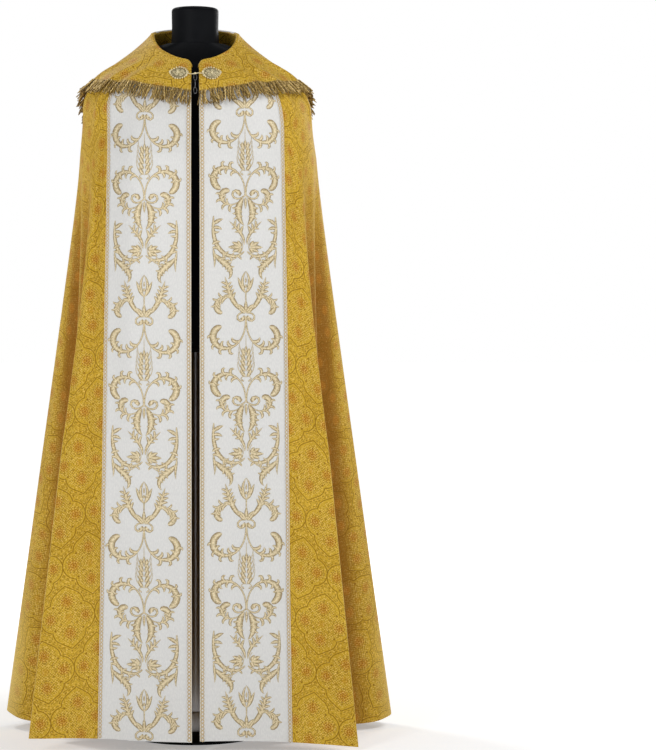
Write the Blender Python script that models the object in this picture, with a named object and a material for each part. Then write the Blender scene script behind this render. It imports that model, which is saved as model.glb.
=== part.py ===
"""Cope, a half-circle processional cloak, worn on a limbless dress form.

Metres, +Z up. The open front faces -Y, left is -X, and the base stands on z = 0.
The cloth is one surface: rings at the neckline, the shoulders, the chest and the hem are joined
by fold lines, and every piece of trim is made from the cope's own points, moved outwards.
"""
import math
from collections import namedtuple

import bmesh
import bpy
import numpy as np

# ---- walls and the air between pieces ----
CLOTH = 0.0020
TRIM = 0.0010
GAP = 0.0003
LOOSE = 0.0008

# ---- how far each layer's middle lies outside the middle of the cope's wall ----
ORPHREY_LIFT = CLOTH / 2 + GAP + TRIM / 2
GALLOON_LIFT = ORPHREY_LIFT + TRIM + GAP
HOOD_LIFT = GALLOON_LIFT + TRIM / 2 + LOOSE + CLOTH / 2
PANEL_LIFT = HOOD_LIFT + CLOTH / 2 + GAP + TRIM / 2
PANEL_GALLOON_LIFT = PANEL_LIFT + TRIM + GAP

# ---- trim sizes ----
FRINGE_DROP = 0.036
FRINGE_THICK = 0.006
FRINGE_LIFT = HOOD_LIFT - CLOTH / 2 + FRINGE_THICK / 2
# widths counted in fold lines: the braids', and half the gap between the two lengths of fringe
FRONT_GALLOON = 0.110
SEAM_GALLOON = 0.088
PANEL_GALLOON = 0.105
FRINGE_PARTING = 0.004

# ---- the rings that the cloth passes through above the hem ----
# half widths to -X and +X, depths to the front and the back, and heights at front, side and back
Ring = namedtuple("Ring", "name half_left half_right front back z_front z_side z_back")
RINGS = (
    Ring("neckline", 0.088, 0.088, 0.098, 0.075, 1.407, 1.474, 1.494),
    Ring("shoulder", 0.229, 0.233, 0.152, 0.152, 1.341, 1.369, 1.386),
    Ring("chest", 0.243, 0.258, 0.186, 0.188, 1.200, 1.200, 1.200),
)
RING_CUTS = (0.0, 0.32, 0.12, 0.0)

# ---- the fold lines, from the left front edge round the back to the right front edge ----
# neck and shoulder: degrees round from the front where the line leaves the upper rings;
# x, y, z: where it ends at the hem; crease: the part of each leg that rounds the fold there
Fold = namedtuple("Fold", "name neck shoulder x y z crease")
FOLDS = (
    Fold("front_edge_left", -5.0, -2.0, -0.008, -0.222, 0.021, 0.00),
    Fold("orphrey_middle_left", -28.0, -25.0, -0.100, -0.224, 0.024, 0.50),
    Fold("orphrey_seam_left", -50.0, -50.5, -0.190, -0.224, 0.032, 0.50),
    Fold("front_fold_left", -58.0, -58.5, -0.342, -0.212, 0.030, 0.06),
    Fold("front_tuck_left", -62.0, -65.0, -0.150, -0.150, 0.026, 0.14),
    Fold("inner_fold_left", -66.0, -74.0, -0.292, -0.078, 0.024, 0.12),
    Fold("inner_tuck_left", -70.0, -82.0, -0.150, -0.012, 0.026, 0.14),
    Fold("side_fore_left", -74.0, -89.0, -0.362, 0.050, 0.018, 0.40),
    Fold("side_fold_left", -80.0, -100.0, -0.424, 0.130, 0.042, 0.45),
    Fold("side_rear_left", -86.0, -112.0, -0.325, 0.204, 0.016, 0.40),
    Fold("back_tuck_left", -91.0, -122.0, -0.150, 0.135, 0.024, 0.14),
    Fold("back_fold_left", -96.0, -133.0, -0.280, 0.236, 0.010, 0.07),
    Fold("panel_seam_left", -103.0, -156.0, -0.118, 0.212, 0.026, 0.50),
    Fold("nape_left", -140.0, -168.0, -0.058, 0.200, 0.032, 0.50),
    Fold("centre_back", -180.0, -180.0, 0.000, 0.190, 0.034, 0.50),
    Fold("nape_right", -220.0, -192.0, 0.058, 0.200, 0.032, 0.50),
    Fold("panel_seam_right", -257.0, -204.0, 0.118, 0.208, 0.024, 0.50),
    Fold("back_fold_right", -264.0, -227.0, 0.276, 0.230, 0.012, 0.07),
    Fold("back_tuck_right", -269.0, -238.0, 0.152, 0.130, 0.024, 0.14),
    Fold("side_rear_right", -274.0, -248.0, 0.338, 0.176, 0.014, 0.40),
    Fold("side_fold_right", -280.0, -260.0, 0.440, 0.088, 0.030, 0.45),
    Fold("side_fore_right", -286.0, -271.0, 0.372, 0.020, 0.012, 0.40),
    Fold("inner_tuck_right", -290.0, -279.0, 0.150, -0.030, 0.024, 0.14),
    Fold("inner_fold_right", -294.0, -287.0, 0.284, -0.092, 0.020, 0.12),
    Fold("front_tuck_right", -298.0, -296.0, 0.150, -0.156, 0.020, 0.14),
    Fold("front_fold_right", -302.0, -303.0, 0.334, -0.224, 0.008, 0.06),
    Fold("orphrey_seam_right", -310.0, -313.5, 0.188, -0.226, 0.021, 0.50),
    Fold("orphrey_middle_right", -332.0, -337.0, 0.100, -0.225, 0.024, 0.50),
    Fold("front_edge_right", -355.0, -358.1, 0.008, -0.222, 0.023, 0.00),
)
LAST = len(FOLDS) - 1
LINE = {fold.name: index for index, fold in enumerate(FOLDS)}
SEAM = LINE["orphrey_seam_left"]

# rows of the mesh: 0 neckline, 1 shoulder, 2 chest, 3 hem; and a short way down the cloth in rows
COPE_ROWS = (0.0, 0.35, 0.68, 0.84, 1.0, 1.16, 1.32, 1.7, 2.0, 2.3, 2.65, 3.0)
ORPHREY_ROWS = COPE_ROWS[2:]
SHORT_WAY = 0.05
HOOD_ROWS = (0.0, 0.18, 0.32, 0.42, 0.52, 0.62, 0.75, 0.88, 1.0)

# how far down the hood reaches, in rows, at degrees round from the front
HoodEdge = namedtuple("HoodEdge", "degrees row")
HOOD_EDGE = (
    HoodEdge(0.0, 0.94),
    HoodEdge(13.0, 0.87),
    HoodEdge(38.0, 0.80),
    HoodEdge(68.0, 0.85),
    HoodEdge(85.0, 0.90),
    HoodEdge(100.0, 1.05),
    HoodEdge(110.0, 1.24),
    HoodEdge(120.0, 1.43),
    HoodEdge(130.0, 1.61),
    HoodEdge(145.0, 1.77),
    HoodEdge(158.0, 1.89),
    HoodEdge(180.0, 1.99),
)

# ---- clasp ----
PLATE_LENGTH = 0.036
PLATE_HEIGHT = 0.030
PLATE_THICK = 0.0024
# the plate's top face and how far its outer end narrows, as parts of its outline
PLATE_TOP = 0.90
PLATE_POINT = 0.55
PLATE_SIDES = 24
PLATE_ROW = 0.46
PLATE_AWAY = 0.0335
HOOK_RADIUS = 0.0016
LINKS = 3
LINK_LENGTH = 0.0165
LINK_WIDTH = 0.0062
LINK_WIRE = 0.0011
LINK_STEPS = 16
LINK_SIDES = 6

# ---- dress form ----
# one row for each section of the torso: height, half width, half depth, shift to the back
Section = namedtuple("Section", "z half_width half_depth back")
TORSO = (
    Section(0.810, 0.140, 0.095, 0.005),
    Section(0.818, 0.152, 0.104, 0.005),
    Section(0.890, 0.166, 0.116, 0.004),
    Section(0.990, 0.150, 0.106, 0.000),
    Section(1.070, 0.142, 0.100, 0.000),
    Section(1.170, 0.162, 0.112, 0.000),
    Section(1.250, 0.182, 0.118, 0.000),
    Section(1.310, 0.206, 0.104, 0.004),
    Section(1.345, 0.214, 0.082, 0.006),
    Section(1.370, 0.206, 0.064, 0.006),
    Section(1.390, 0.190, 0.052, 0.005),
    Section(1.415, 0.1546, 0.046, 0.003),
    Section(1.440, 0.116, 0.046, 0.000),
    Section(1.456, 0.066, 0.050, 0.000),
)
TORSO_SIDES = 32
NECK_RADIUS = 0.0470
NECK_ROOT = 0.0500
NECK_FLARE = 0.030
NECK_TOP = 1.532
CAP_HEIGHT = 0.006
POLE_RADIUS = 0.0125
COLLAR_RADIUS = 0.024
COLLAR_HEIGHT = 0.040
BASE_RADIUS = 0.140
BASE_THICK = 0.008
BASE_EDGE = 0.0025
CAP_EDGE = 0.0015
ROUND_SIDES = 40
POLE_SIDES = 24


# ---------------------------------------------------------------- the cloth as a function

def soft_weights(place, cuts):
    """Weights of the control points for a line that runs straight between them and rounds them.

    place counts control points and may lie between two of them. Within cuts[j] of point j the
    line is a parabola that touches both legs, and elsewhere it is the straight leg.
    """
    count = cuts.shape[-1]
    place = np.asarray(place, float)
    near = np.clip(np.floor(place + 0.5).astype(int), 0, count - 1)
    away = place - near
    cut = np.take_along_axis(cuts, near[..., None], axis=-1)[..., 0]
    inside = np.abs(away) < cut
    share = np.where(inside, (away + cut) / np.maximum(2 * cut, 1e-9), 0.0)
    onward = np.where(inside, share ** 2 * cut, np.maximum(away, 0.0))
    backward = np.where(inside, (1 - share) ** 2 * cut, np.maximum(-away, 0.0))
    points = np.arange(count)
    here = points == near[..., None]
    after = points == near[..., None] + 1
    before = points == near[..., None] - 1
    return (here * (1 - onward - backward)[..., None] + after * onward[..., None]
            + before * backward[..., None])


def ring_point(ring, degrees):
    """A point of a ring: half an oval to the front, half to the back, its height eased between."""
    angle = math.radians(-degrees)
    side = math.sin(angle)
    ahead = math.cos(angle)
    half = ring.half_right if side < 0 else ring.half_left
    depth = ring.front if ahead > 0 else ring.back
    z_end = ring.z_front if ahead > 0 else ring.z_back
    return (-half * side, -depth * ahead, ring.z_side + (z_end - ring.z_side) * abs(ahead))


def control_net():
    """Every fold line's point on each ring: neckline, shoulder, chest and hem."""
    neck, shoulder, chest = RINGS
    return np.array([
        [ring_point(neck, fold.neck) for fold in FOLDS],
        [ring_point(shoulder, fold.shoulder) for fold in FOLDS],
        [ring_point(chest, fold.shoulder) for fold in FOLDS],
        [(fold.x, fold.y, fold.z) for fold in FOLDS],
    ])


NET = control_net()
CREASES = np.array([fold.crease for fold in FOLDS])
SMOOTH = np.where(CREASES > 0, 0.5, 0.0)


def cloth(turn, row):
    """The middle of the cope's wall at a place counted in fold lines and in rings.

    Each ring is a soft line through the fold lines' points, and each fold line is a soft line
    through its rings. Folds are fully rounded at the chest and reach their crease at the hem.
    """
    turn, row = np.broadcast_arrays(np.asarray(turn, float), np.asarray(row, float))
    ring_weights = soft_weights(row, np.broadcast_to(np.array(RING_CUTS), row.shape + (4,)))
    fall = np.clip((row - 2.0) * 2.0, 0.0, 1.0)[..., None]
    creases = SMOOTH + (CREASES - SMOOTH) * fall
    fold_weights = soft_weights(turn, creases)
    return np.einsum("...r,...f,rfc->...c", ring_weights, fold_weights, NET)


def lifted(turn, row, lift):
    """Points of the cloth moved outwards along its normal."""
    step = 0.004
    across = cloth(np.clip(turn + step, 0, LAST), row) - cloth(np.clip(turn - step, 0, LAST), row)
    down = cloth(turn, np.clip(row + step, 0, 3)) - cloth(turn, np.clip(row - step, 0, 3))
    normal = np.cross(across, down)
    normal /= np.linalg.norm(normal, axis=-1, keepdims=True)
    return cloth(turn, row) + normal * lift


def cope_turns():
    """Columns of the mesh: the trim's edges, each fold's crease and the middle of long legs."""
    turns = {0.0, FRONT_GALLOON, SEAM - SEAM_GALLOON}
    turns |= {LAST - turn for turn in turns}
    for index in range(1, LAST):
        crease = FOLDS[index].crease
        turns |= {index - crease, float(index), index + crease}
    for name, way in (("panel_seam_left", 1), ("panel_seam_right", -1)):
        turns.add(LINE[name] + way * PANEL_GALLOON)
    return np.array(sorted({round(turn, 6) for turn in turns}))


TURNS = cope_turns()


def between(low, high):
    """The columns of the mesh from one place to another, both included."""
    return TURNS[(TURNS > low - 1e-6) & (TURNS < high + 1e-6)]


# ---------------------------------------------------------------- meshes and materials

def clear_scene():
    """Remove every object, so that the model stands alone."""
    for thing in list(bpy.data.objects):
        bpy.data.objects.remove(thing, do_unlink=True)


def material(name, colour, roughness, metallic=0.0):
    """A plain Principled finish, made once for each name."""
    found = bpy.data.materials.get(name)
    if found:
        return found
    made = bpy.data.materials.new(name)
    made.use_nodes = True
    shader = made.node_tree.nodes["Principled BSDF"]
    shader.inputs["Base Color"].default_value = (*colour, 1.0)
    shader.inputs["Roughness"].default_value = roughness
    shader.inputs["Metallic"].default_value = metallic
    return made


def add_object(name, points, faces, finish):
    """One object from points and faces, with faces pointing out."""
    mesh = bpy.data.meshes.new(name)
    mesh.from_pydata([tuple(point) for point in points], [], faces)
    shaped = bmesh.new()
    shaped.from_mesh(mesh)
    bmesh.ops.recalc_face_normals(shaped, faces=shaped.faces)
    shaped.to_mesh(mesh)
    shaped.free()
    mesh.shade_smooth()
    mesh.set_sharp_from_angle(angle=math.radians(40))
    mesh.materials.append(finish)
    made = bpy.data.objects.new(name, mesh)
    bpy.context.collection.objects.link(made)
    return made


def grid_faces(rows, columns, start, flip):
    """Two triangles for each cell of a grid of points, with the same diagonal everywhere."""
    faces = []
    for row in range(rows - 1):
        for column in range(columns - 1):
            a = start + row * columns + column
            b = a + 1
            c = a + columns
            d = c + 1
            pair = [(a, c, d), (a, d, b)]
            faces += [face[::-1] for face in pair] if flip else pair
    return faces


def rim(rows, columns):
    """The border of a grid, once round, as point numbers."""
    top = list(range(columns))
    right = [row * columns + columns - 1 for row in range(1, rows)]
    bottom = [(rows - 1) * columns + column for column in range(columns - 2, -1, -1)]
    left = [row * columns for row in range(rows - 2, 0, -1)]
    return top + right + bottom + left


def wall(name, inner, outer, finish):
    """A closed wall between two grids of points of the same size."""
    rows, columns = inner.shape[:2]
    count = rows * columns
    points = np.concatenate([outer.reshape(-1, 3), inner.reshape(-1, 3)])
    faces = grid_faces(rows, columns, 0, False) + grid_faces(rows, columns, count, True)
    border = rim(rows, columns)
    for here, there in zip(border, border[1:] + border[:1]):
        faces += [(here, there, there + count), (here, there + count, here + count)]
    return add_object(name, points, faces, finish)


def sheet(name, turns, rows, lift, thick, finish):
    """A layer of cloth made from the cope's points, at its own height above them."""
    turn, row = np.meshgrid(turns, rows)
    inner = lifted(turn, row, lift - thick / 2)
    outer = lifted(turn, row, lift + thick / 2)
    return wall(name, inner, outer, finish)


def turned(name, profile, sides, finish):
    """A closed body turned about the Z axis from (radius, height) points, bottom to top."""
    angles = np.arange(sides) * 2 * math.pi / sides
    points = [(radius * math.cos(a), radius * math.sin(a), z) for radius, z in profile
              for a in angles]
    return closed_rings(name, points, len(profile), sides, finish)


def closed_rings(name, points, rings, sides, finish):
    """Rings of points joined one to the next, with a flat cap at each end."""
    faces = []
    for ring in range(rings - 1):
        for side in range(sides):
            a = ring * sides + side
            b = ring * sides + (side + 1) % sides
            faces += [(a, b, b + sides), (a, b + sides, a + sides)]
    faces.append(tuple(range(sides))[::-1])
    faces.append(tuple((rings - 1) * sides + side for side in range(sides)))
    return add_object(name, points, faces, finish)


# ---------------------------------------------------------------- the cope and its trim

def make_cope(gold):
    """The cloak itself: one wall from the neckline to the hem, open down the front."""
    sheet("cope_body", TURNS, COPE_ROWS, 0.0, CLOTH, gold)


def make_orphreys(satin, braid):
    """A satin strip on each front, with a narrow braid along each of its long edges."""
    sides = {"left": lambda turn: turn, "right": lambda turn: LAST - turn}
    pieces = (
        ("orphrey", 0.0, SEAM, ORPHREY_LIFT, satin),
        ("galloon_inner", 0.0, FRONT_GALLOON, GALLOON_LIFT, braid),
        ("galloon_outer", SEAM - SEAM_GALLOON, SEAM, GALLOON_LIFT, braid),
    )
    for side, place in sides.items():
        for name, start, end, lift, finish in pieces:
            low, high = sorted((place(start), place(end)))
            sheet(f"{name}_{side}", between(low, high), ORPHREY_ROWS, lift, TRIM, finish)


def hood_edge(turn):
    """The row at which the hood ends, for each column."""
    degrees = np.interp(turn, np.arange(LAST + 1), [-fold.shoulder for fold in FOLDS])
    degrees = 180.0 - np.abs(degrees - 180.0)
    return np.interp(degrees, [step.degrees for step in HOOD_EDGE], [step.row for step in HOOD_EDGE])


def hood_grid(turns):
    """Columns and rows of the hood, whose last row follows its lower edge."""
    turn, share = np.meshgrid(turns, HOOD_ROWS)
    return turn, share * hood_edge(turn)


def make_hood(gold, satin, braid):
    """The hood with its pointed shield at the back, its centre panel and the panel's braids."""
    left = LINE["panel_seam_left"]
    right = LINE["panel_seam_right"]
    layers = (
        ("hood", 0, LAST, HOOD_LIFT, CLOTH, gold),
        ("hood_panel", left, right, PANEL_LIFT, TRIM, satin),
        ("hood_galloon_left", left, left + PANEL_GALLOON, PANEL_GALLOON_LIFT, TRIM, braid),
        ("hood_galloon_right", right - PANEL_GALLOON, right, PANEL_GALLOON_LIFT, TRIM, braid),
    )
    for name, low, high, lift, thick, finish in layers:
        turn, row = hood_grid(between(low, high))
        wall(name, lifted(turn, row, lift - thick / 2), lifted(turn, row, lift + thick / 2), finish)


def fringe_grid(turns, lift):
    """Two rows of points: just below the hood's edge, and the reach of the fringe below it."""
    edge = hood_edge(turns)
    top = lifted(turns, edge, lift)
    fall = top - lifted(turns, edge - SHORT_WAY, lift)
    fall /= np.linalg.norm(fall, axis=-1, keepdims=True)
    return np.stack([top + fall * LOOSE, top + fall * FRINGE_DROP])


def make_fringe(thread):
    """The bullion fringe below the hood's edge, in two lengths that meet at the shield's point."""
    left_end = LINE["centre_back"] - FRINGE_PARTING
    right_end = LINE["centre_back"] + FRINGE_PARTING
    lengths = (
        ("fringe_left", np.append(between(0, left_end), left_end)),
        ("fringe_right", np.append(right_end, between(right_end, LAST))),
    )
    for name, turns in lengths:
        inner = fringe_grid(turns, FRINGE_LIFT - FRINGE_THICK / 2)
        outer = fringe_grid(turns, FRINGE_LIFT + FRINGE_THICK / 2)
        wall(name, inner, outer, thread)


# ---------------------------------------------------------------- the clasp

def front_frame(turn, row, lift):
    """A place on the hood's front with its directions: outwards, across to +X and upwards."""
    place = lifted(turn, row, lift)
    up = lifted(turn, row - SHORT_WAY, lift) - place
    out = lifted(turn, row, lift + CLOTH) - place
    up /= np.linalg.norm(up)
    out /= np.linalg.norm(out)
    return place, out, np.cross(up, out), up


def leaf_outline(length, height, points):
    """An oval plate, drawn out to a point at its outer end."""
    angles = np.arange(points) * 2 * math.pi / points
    across = np.cos(angles) * length / 2
    narrow = 1.0 - PLATE_POINT * np.clip(np.cos(angles), 0, 1) ** 2
    return np.stack([across, np.sin(angles) * height / 2 * narrow], axis=-1)


def make_plate(name, side, metal):
    """One half of the clasp, flat on the hood, with its point away from the opening."""
    turns = np.linspace(0.0, 1.0, 60) if side < 0 else LAST - np.linspace(0.0, 1.0, 60)
    away = np.abs(cloth(turns, PLATE_ROW)[:, 0])
    turn = np.interp(PLATE_AWAY, away, turns)
    place, out, across, up = front_frame(turn, PLATE_ROW, HOOD_LIFT + CLOTH / 2 + LOOSE)
    outline = [across * side * a + up * b
               for a, b in leaf_outline(PLATE_LENGTH, PLATE_HEIGHT, PLATE_SIDES)]
    low = [place + way for way in outline]
    high = [place + out * PLATE_THICK + way * PLATE_TOP for way in outline]
    closed_rings(name, low + high, 2, PLATE_SIDES, metal)


def rod(name, start, end, radius, sides, metal):
    """A straight round bar between two points."""
    way = end - start
    way /= np.linalg.norm(way)
    first = np.cross(way, (0.0, 0.0, 1.0))
    first /= np.linalg.norm(first)
    second = np.cross(way, first)
    angles = np.arange(sides) * 2 * math.pi / sides
    circle = [first * math.cos(a) * radius + second * math.sin(a) * radius for a in angles]
    closed_rings(name, [start + c for c in circle] + [end + c for c in circle], 2, sides, metal)


def link(name, centre, along, across, metal):
    """One link of the chain: round wire bent into a long loop."""
    out = np.cross(along, across)
    points = []
    for step in range(LINK_STEPS):
        angle = 2 * math.pi * step / LINK_STEPS
        middle = along * math.cos(angle) * LINK_LENGTH / 2 + across * math.sin(angle) * LINK_WIDTH / 2
        ray = middle / np.linalg.norm(middle)
        for side in range(LINK_SIDES):
            turn = 2 * math.pi * side / LINK_SIDES
            points.append(centre + middle + (ray * math.cos(turn) + out * math.sin(turn)) * LINK_WIRE)
    faces = []
    for step in range(LINK_STEPS):
        for side in range(LINK_SIDES):
            after = (side + 1) % LINK_SIDES
            here = step * LINK_SIDES
            onward = (step + 1) % LINK_STEPS * LINK_SIDES
            a = here + side
            b = here + after
            c = onward + side
            d = onward + after
            faces += [(a, b, d), (a, d, c)]
    add_object(name, points, faces, metal)


def make_clasp(metal):
    """The fastened clasp: two plates, the hook between them and a short chain below the hook."""
    make_plate("clasp_plate_left", -1, metal)
    make_plate("clasp_plate_right", 1, metal)
    lift = HOOD_LIFT + CLOTH / 2 + LOOSE + HOOK_RADIUS
    middle, _, _, up = front_frame(0.0, PLATE_ROW, lift)
    middle[0] = 0.0
    across = np.array((1.0, 0.0, 0.0))
    reach = across * (PLATE_AWAY - PLATE_LENGTH / 2 - GAP)
    rod("clasp_hook", middle - reach, middle + reach, HOOK_RADIUS, 10, metal)
    fall = np.array((0.0, -up[1], -up[2])) / math.hypot(up[1], up[2])
    spot = middle + fall * (HOOK_RADIUS + GAP + LINK_WIRE + LINK_LENGTH / 2)
    for number in range(LINKS):
        link(f"clasp_link_{number + 1}", spot, fall, across, metal)
        spot = spot + fall * (LINK_LENGTH + 2 * LINK_WIRE + GAP)


# ---------------------------------------------------------------- the dress form

def make_torso(shell):
    """Oval sections from the hips to the root of the neck."""
    angles = np.arange(TORSO_SIDES) * 2 * math.pi / TORSO_SIDES
    points = [(cut.half_width * math.cos(a), cut.back + cut.half_depth * math.sin(a), cut.z)
              for cut in TORSO for a in angles]
    closed_rings("form_torso", points, len(TORSO), TORSO_SIDES, shell)


def make_stand(shell, steel):
    """The neck with its flat cap, the pole, its collar and the round base."""
    root = TORSO[-1].z + GAP
    cap = NECK_TOP - CAP_HEIGHT
    turned("form_neck", ((NECK_ROOT, root), (NECK_RADIUS, root + NECK_FLARE), (NECK_RADIUS, cap - GAP)),
           ROUND_SIDES, shell)
    turned("form_cap", ((NECK_RADIUS, cap), (NECK_RADIUS, NECK_TOP - CAP_EDGE),
                        (NECK_RADIUS - CAP_EDGE, NECK_TOP)), ROUND_SIDES, shell)
    turned("form_base", ((BASE_RADIUS - BASE_EDGE, 0.0), (BASE_RADIUS, BASE_EDGE),
                         (BASE_RADIUS - BASE_EDGE, BASE_THICK - BASE_EDGE / 2),
                         (BASE_RADIUS - 3 * BASE_EDGE, BASE_THICK)), ROUND_SIDES, shell)
    turned("form_collar", ((COLLAR_RADIUS, BASE_THICK + GAP),
                           (COLLAR_RADIUS * 0.8, BASE_THICK + COLLAR_HEIGHT)), ROUND_SIDES, steel)
    turned("form_pole", ((POLE_RADIUS, BASE_THICK + COLLAR_HEIGHT + GAP),
                         (POLE_RADIUS, TORSO[0].z - GAP)), POLE_SIDES, steel)


def build():
    """Clear the scene and make every piece."""
    clear_scene()
    gold = material("gold_brocade", (0.56, 0.36, 0.06), 0.55)
    satin = material("white_satin", (0.74, 0.76, 0.80), 0.45)
    braid = material("gold_braid", (0.62, 0.47, 0.20), 0.42)
    thread = material("bullion_thread", (0.33, 0.26, 0.12), 0.5)
    metal = material("antique_silver_gilt", (0.62, 0.56, 0.38), 0.35, 0.9)
    shell = material("black_form", (0.012, 0.012, 0.014), 0.4)
    steel = material("steel", (0.55, 0.56, 0.58), 0.3, 1.0)
    make_cope(gold)
    make_orphreys(satin, braid)
    make_hood(gold, satin, braid)
    make_fringe(thread)
    make_clasp(metal)
    make_torso(shell)
    make_stand(shell, steel)


build()
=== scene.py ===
"""Looks of a gold brocade cope worn on a limbless black dress form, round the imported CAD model.

The cloth is the same surface as the CAD's: rings at the neckline, shoulder, chest and hem joined
by fold lines. Here it is worked out finely, with its soft troughs and ridges. Metres, +Z up.
A place on the cloth is (turn, row): turn counts fold lines from the left front edge round the
back to the right front edge, and row counts rings from the neckline (0) to the hem (3).
"""

import math
from collections import namedtuple
from functools import partialmethod

import bpy
import numpy as np
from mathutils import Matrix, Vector


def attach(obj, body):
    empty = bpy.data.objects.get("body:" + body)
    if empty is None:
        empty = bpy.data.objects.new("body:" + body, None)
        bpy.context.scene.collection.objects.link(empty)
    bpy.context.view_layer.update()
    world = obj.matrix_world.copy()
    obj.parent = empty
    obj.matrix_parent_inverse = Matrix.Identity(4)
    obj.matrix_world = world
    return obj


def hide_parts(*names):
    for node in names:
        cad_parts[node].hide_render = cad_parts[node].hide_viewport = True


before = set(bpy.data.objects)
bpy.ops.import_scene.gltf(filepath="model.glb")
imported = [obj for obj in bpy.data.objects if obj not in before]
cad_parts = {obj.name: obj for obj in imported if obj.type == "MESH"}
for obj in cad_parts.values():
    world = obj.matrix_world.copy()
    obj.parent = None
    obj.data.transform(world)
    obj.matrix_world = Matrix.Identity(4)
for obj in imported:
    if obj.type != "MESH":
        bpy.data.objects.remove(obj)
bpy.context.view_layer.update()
SEED = 20
rng = np.random.default_rng(SEED)
SIDES = ("left", "right")

# ---------------------------------------------------------------- sizes of the cloth and its trim

# how thick the cloth and the trim on it are, the gap between two layers and the looser one under
# the hood; then how far the middle of each layer stands off the middle of the cope's wall, and
# the underside of a figure or the foot of a chain off the middle of the trim below it
CLOTH = 0.0020
TRIM = 0.0010
GAP = 0.0003
LOOSE = 0.0008
ORPHREY_LIFT = CLOTH / 2 + GAP + TRIM / 2
GALLOON_LIFT = ORPHREY_LIFT + TRIM + GAP
HOOD_LIFT = GALLOON_LIFT + TRIM / 2 + LOOSE + CLOTH / 2
PANEL_LIFT = HOOD_LIFT + CLOTH / 2 + GAP + TRIM / 2
PANEL_GALLOON_LIFT = PANEL_LIFT + TRIM + GAP
CHAIN_LIFT = TRIM / 2
FIGURE_LIFT = TRIM / 2 + 0.00025

# the level rings above the hem: how far each reaches to the sides, to the front and to the back of
# the Z axis, and its heights there
Ring = namedtuple("Ring", "name half_left half_right front back z_front z_side z_back")
RINGS = (
    Ring("neckline", 0.088, 0.088, 0.098, 0.075, 1.407, 1.474, 1.494),
    Ring("shoulder", 0.229, 0.233, 0.152, 0.152, 1.341, 1.369, 1.386),
    Ring("chest", 0.243, 0.258, 0.186, 0.188, 1.200, 1.200, 1.200),
)
# the part of each leg that rounds the cloth at a ring, from the neckline to the hem
RING_CUTS = (0.0, 0.32, 0.12, 0.0)
CHEST_ROW = 2.0

# fold lines from the left front edge round the back: degrees round from the front on the neckline
# and on the shoulder and chest, the point on the hem, and the part of each leg that rounds the
# fold there
Fold = namedtuple("Fold", "name neck shoulder x y z crease")
FOLDS = (
    Fold("front_edge_left", -5.0, -2.0, -0.008, -0.222, 0.021, 0.00),
    Fold("orphrey_middle_left", -28.0, -25.0, -0.100, -0.224, 0.024, 0.50),
    Fold("orphrey_seam_left", -50.0, -50.5, -0.190, -0.224, 0.032, 0.50),
    Fold("front_fold_left", -58.0, -58.5, -0.342, -0.212, 0.030, 0.06),
    Fold("front_tuck_left", -62.0, -65.0, -0.150, -0.150, 0.026, 0.14),
    Fold("inner_fold_left", -66.0, -74.0, -0.292, -0.078, 0.024, 0.12),
    Fold("inner_tuck_left", -70.0, -82.0, -0.150, -0.012, 0.026, 0.14),
    Fold("side_fore_left", -74.0, -89.0, -0.362, 0.050, 0.018, 0.40),
    Fold("side_fold_left", -80.0, -100.0, -0.424, 0.130, 0.042, 0.45),
    Fold("side_rear_left", -86.0, -112.0, -0.325, 0.204, 0.016, 0.40),
    Fold("back_tuck_left", -91.0, -122.0, -0.150, 0.135, 0.024, 0.14),
    Fold("back_fold_left", -96.0, -133.0, -0.280, 0.236, 0.010, 0.07),
    Fold("panel_seam_left", -103.0, -156.0, -0.118, 0.212, 0.026, 0.50),
    Fold("nape_left", -140.0, -168.0, -0.058, 0.200, 0.032, 0.50),
    Fold("centre_back", -180.0, -180.0, 0.000, 0.190, 0.034, 0.50),
    Fold("nape_right", -220.0, -192.0, 0.058, 0.200, 0.032, 0.50),
    Fold("panel_seam_right", -257.0, -204.0, 0.118, 0.208, 0.024, 0.50),
    Fold("back_fold_right", -264.0, -227.0, 0.276, 0.230, 0.012, 0.07),
    Fold("back_tuck_right", -269.0, -238.0, 0.152, 0.130, 0.024, 0.14),
    Fold("side_rear_right", -274.0, -248.0, 0.338, 0.176, 0.014, 0.40),
    Fold("side_fold_right", -280.0, -260.0, 0.440, 0.088, 0.030, 0.45),
    Fold("side_fore_right", -286.0, -271.0, 0.372, 0.020, 0.012, 0.40),
    Fold("inner_tuck_right", -290.0, -279.0, 0.150, -0.030, 0.024, 0.14),
    Fold("inner_fold_right", -294.0, -287.0, 0.284, -0.092, 0.020, 0.12),
    Fold("front_tuck_right", -298.0, -296.0, 0.150, -0.156, 0.020, 0.14),
    Fold("front_fold_right", -302.0, -303.0, 0.334, -0.224, 0.008, 0.06),
    Fold("orphrey_seam_right", -310.0, -313.5, 0.188, -0.226, 0.021, 0.50),
    Fold("orphrey_middle_right", -332.0, -337.0, 0.100, -0.225, 0.024, 0.50),
    Fold("front_edge_right", -355.0, -358.1, 0.008, -0.222, 0.023, 0.00),
)
LAST = len(FOLDS) - 1
LINE = {fold.name: index for index, fold in enumerate(FOLDS)}
# the radius of the half circle that the cope is cut as
CUT_RADIUS = 1.50

# widths of cloth that the cope is joined from: the fold lines where each starts and ends, the
# fold line that it is laid out from, and that line's direction on the half-circle cut in degrees.
# The seams lie at the bottom of the deep tucks.
Width = namedtuple("Width", "name first last from_line grain")
WIDTHS = (
    Width("front_left", 0, 6, 2, 7.0),
    Width("side_left", 6, 10, 8, 45.0),
    Width("back", 10, 18, 14, 90.0),
    Width("side_right", 18, 22, 20, 135.0),
    Width("front_right", 22, 28, 26, 173.0),
)

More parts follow.
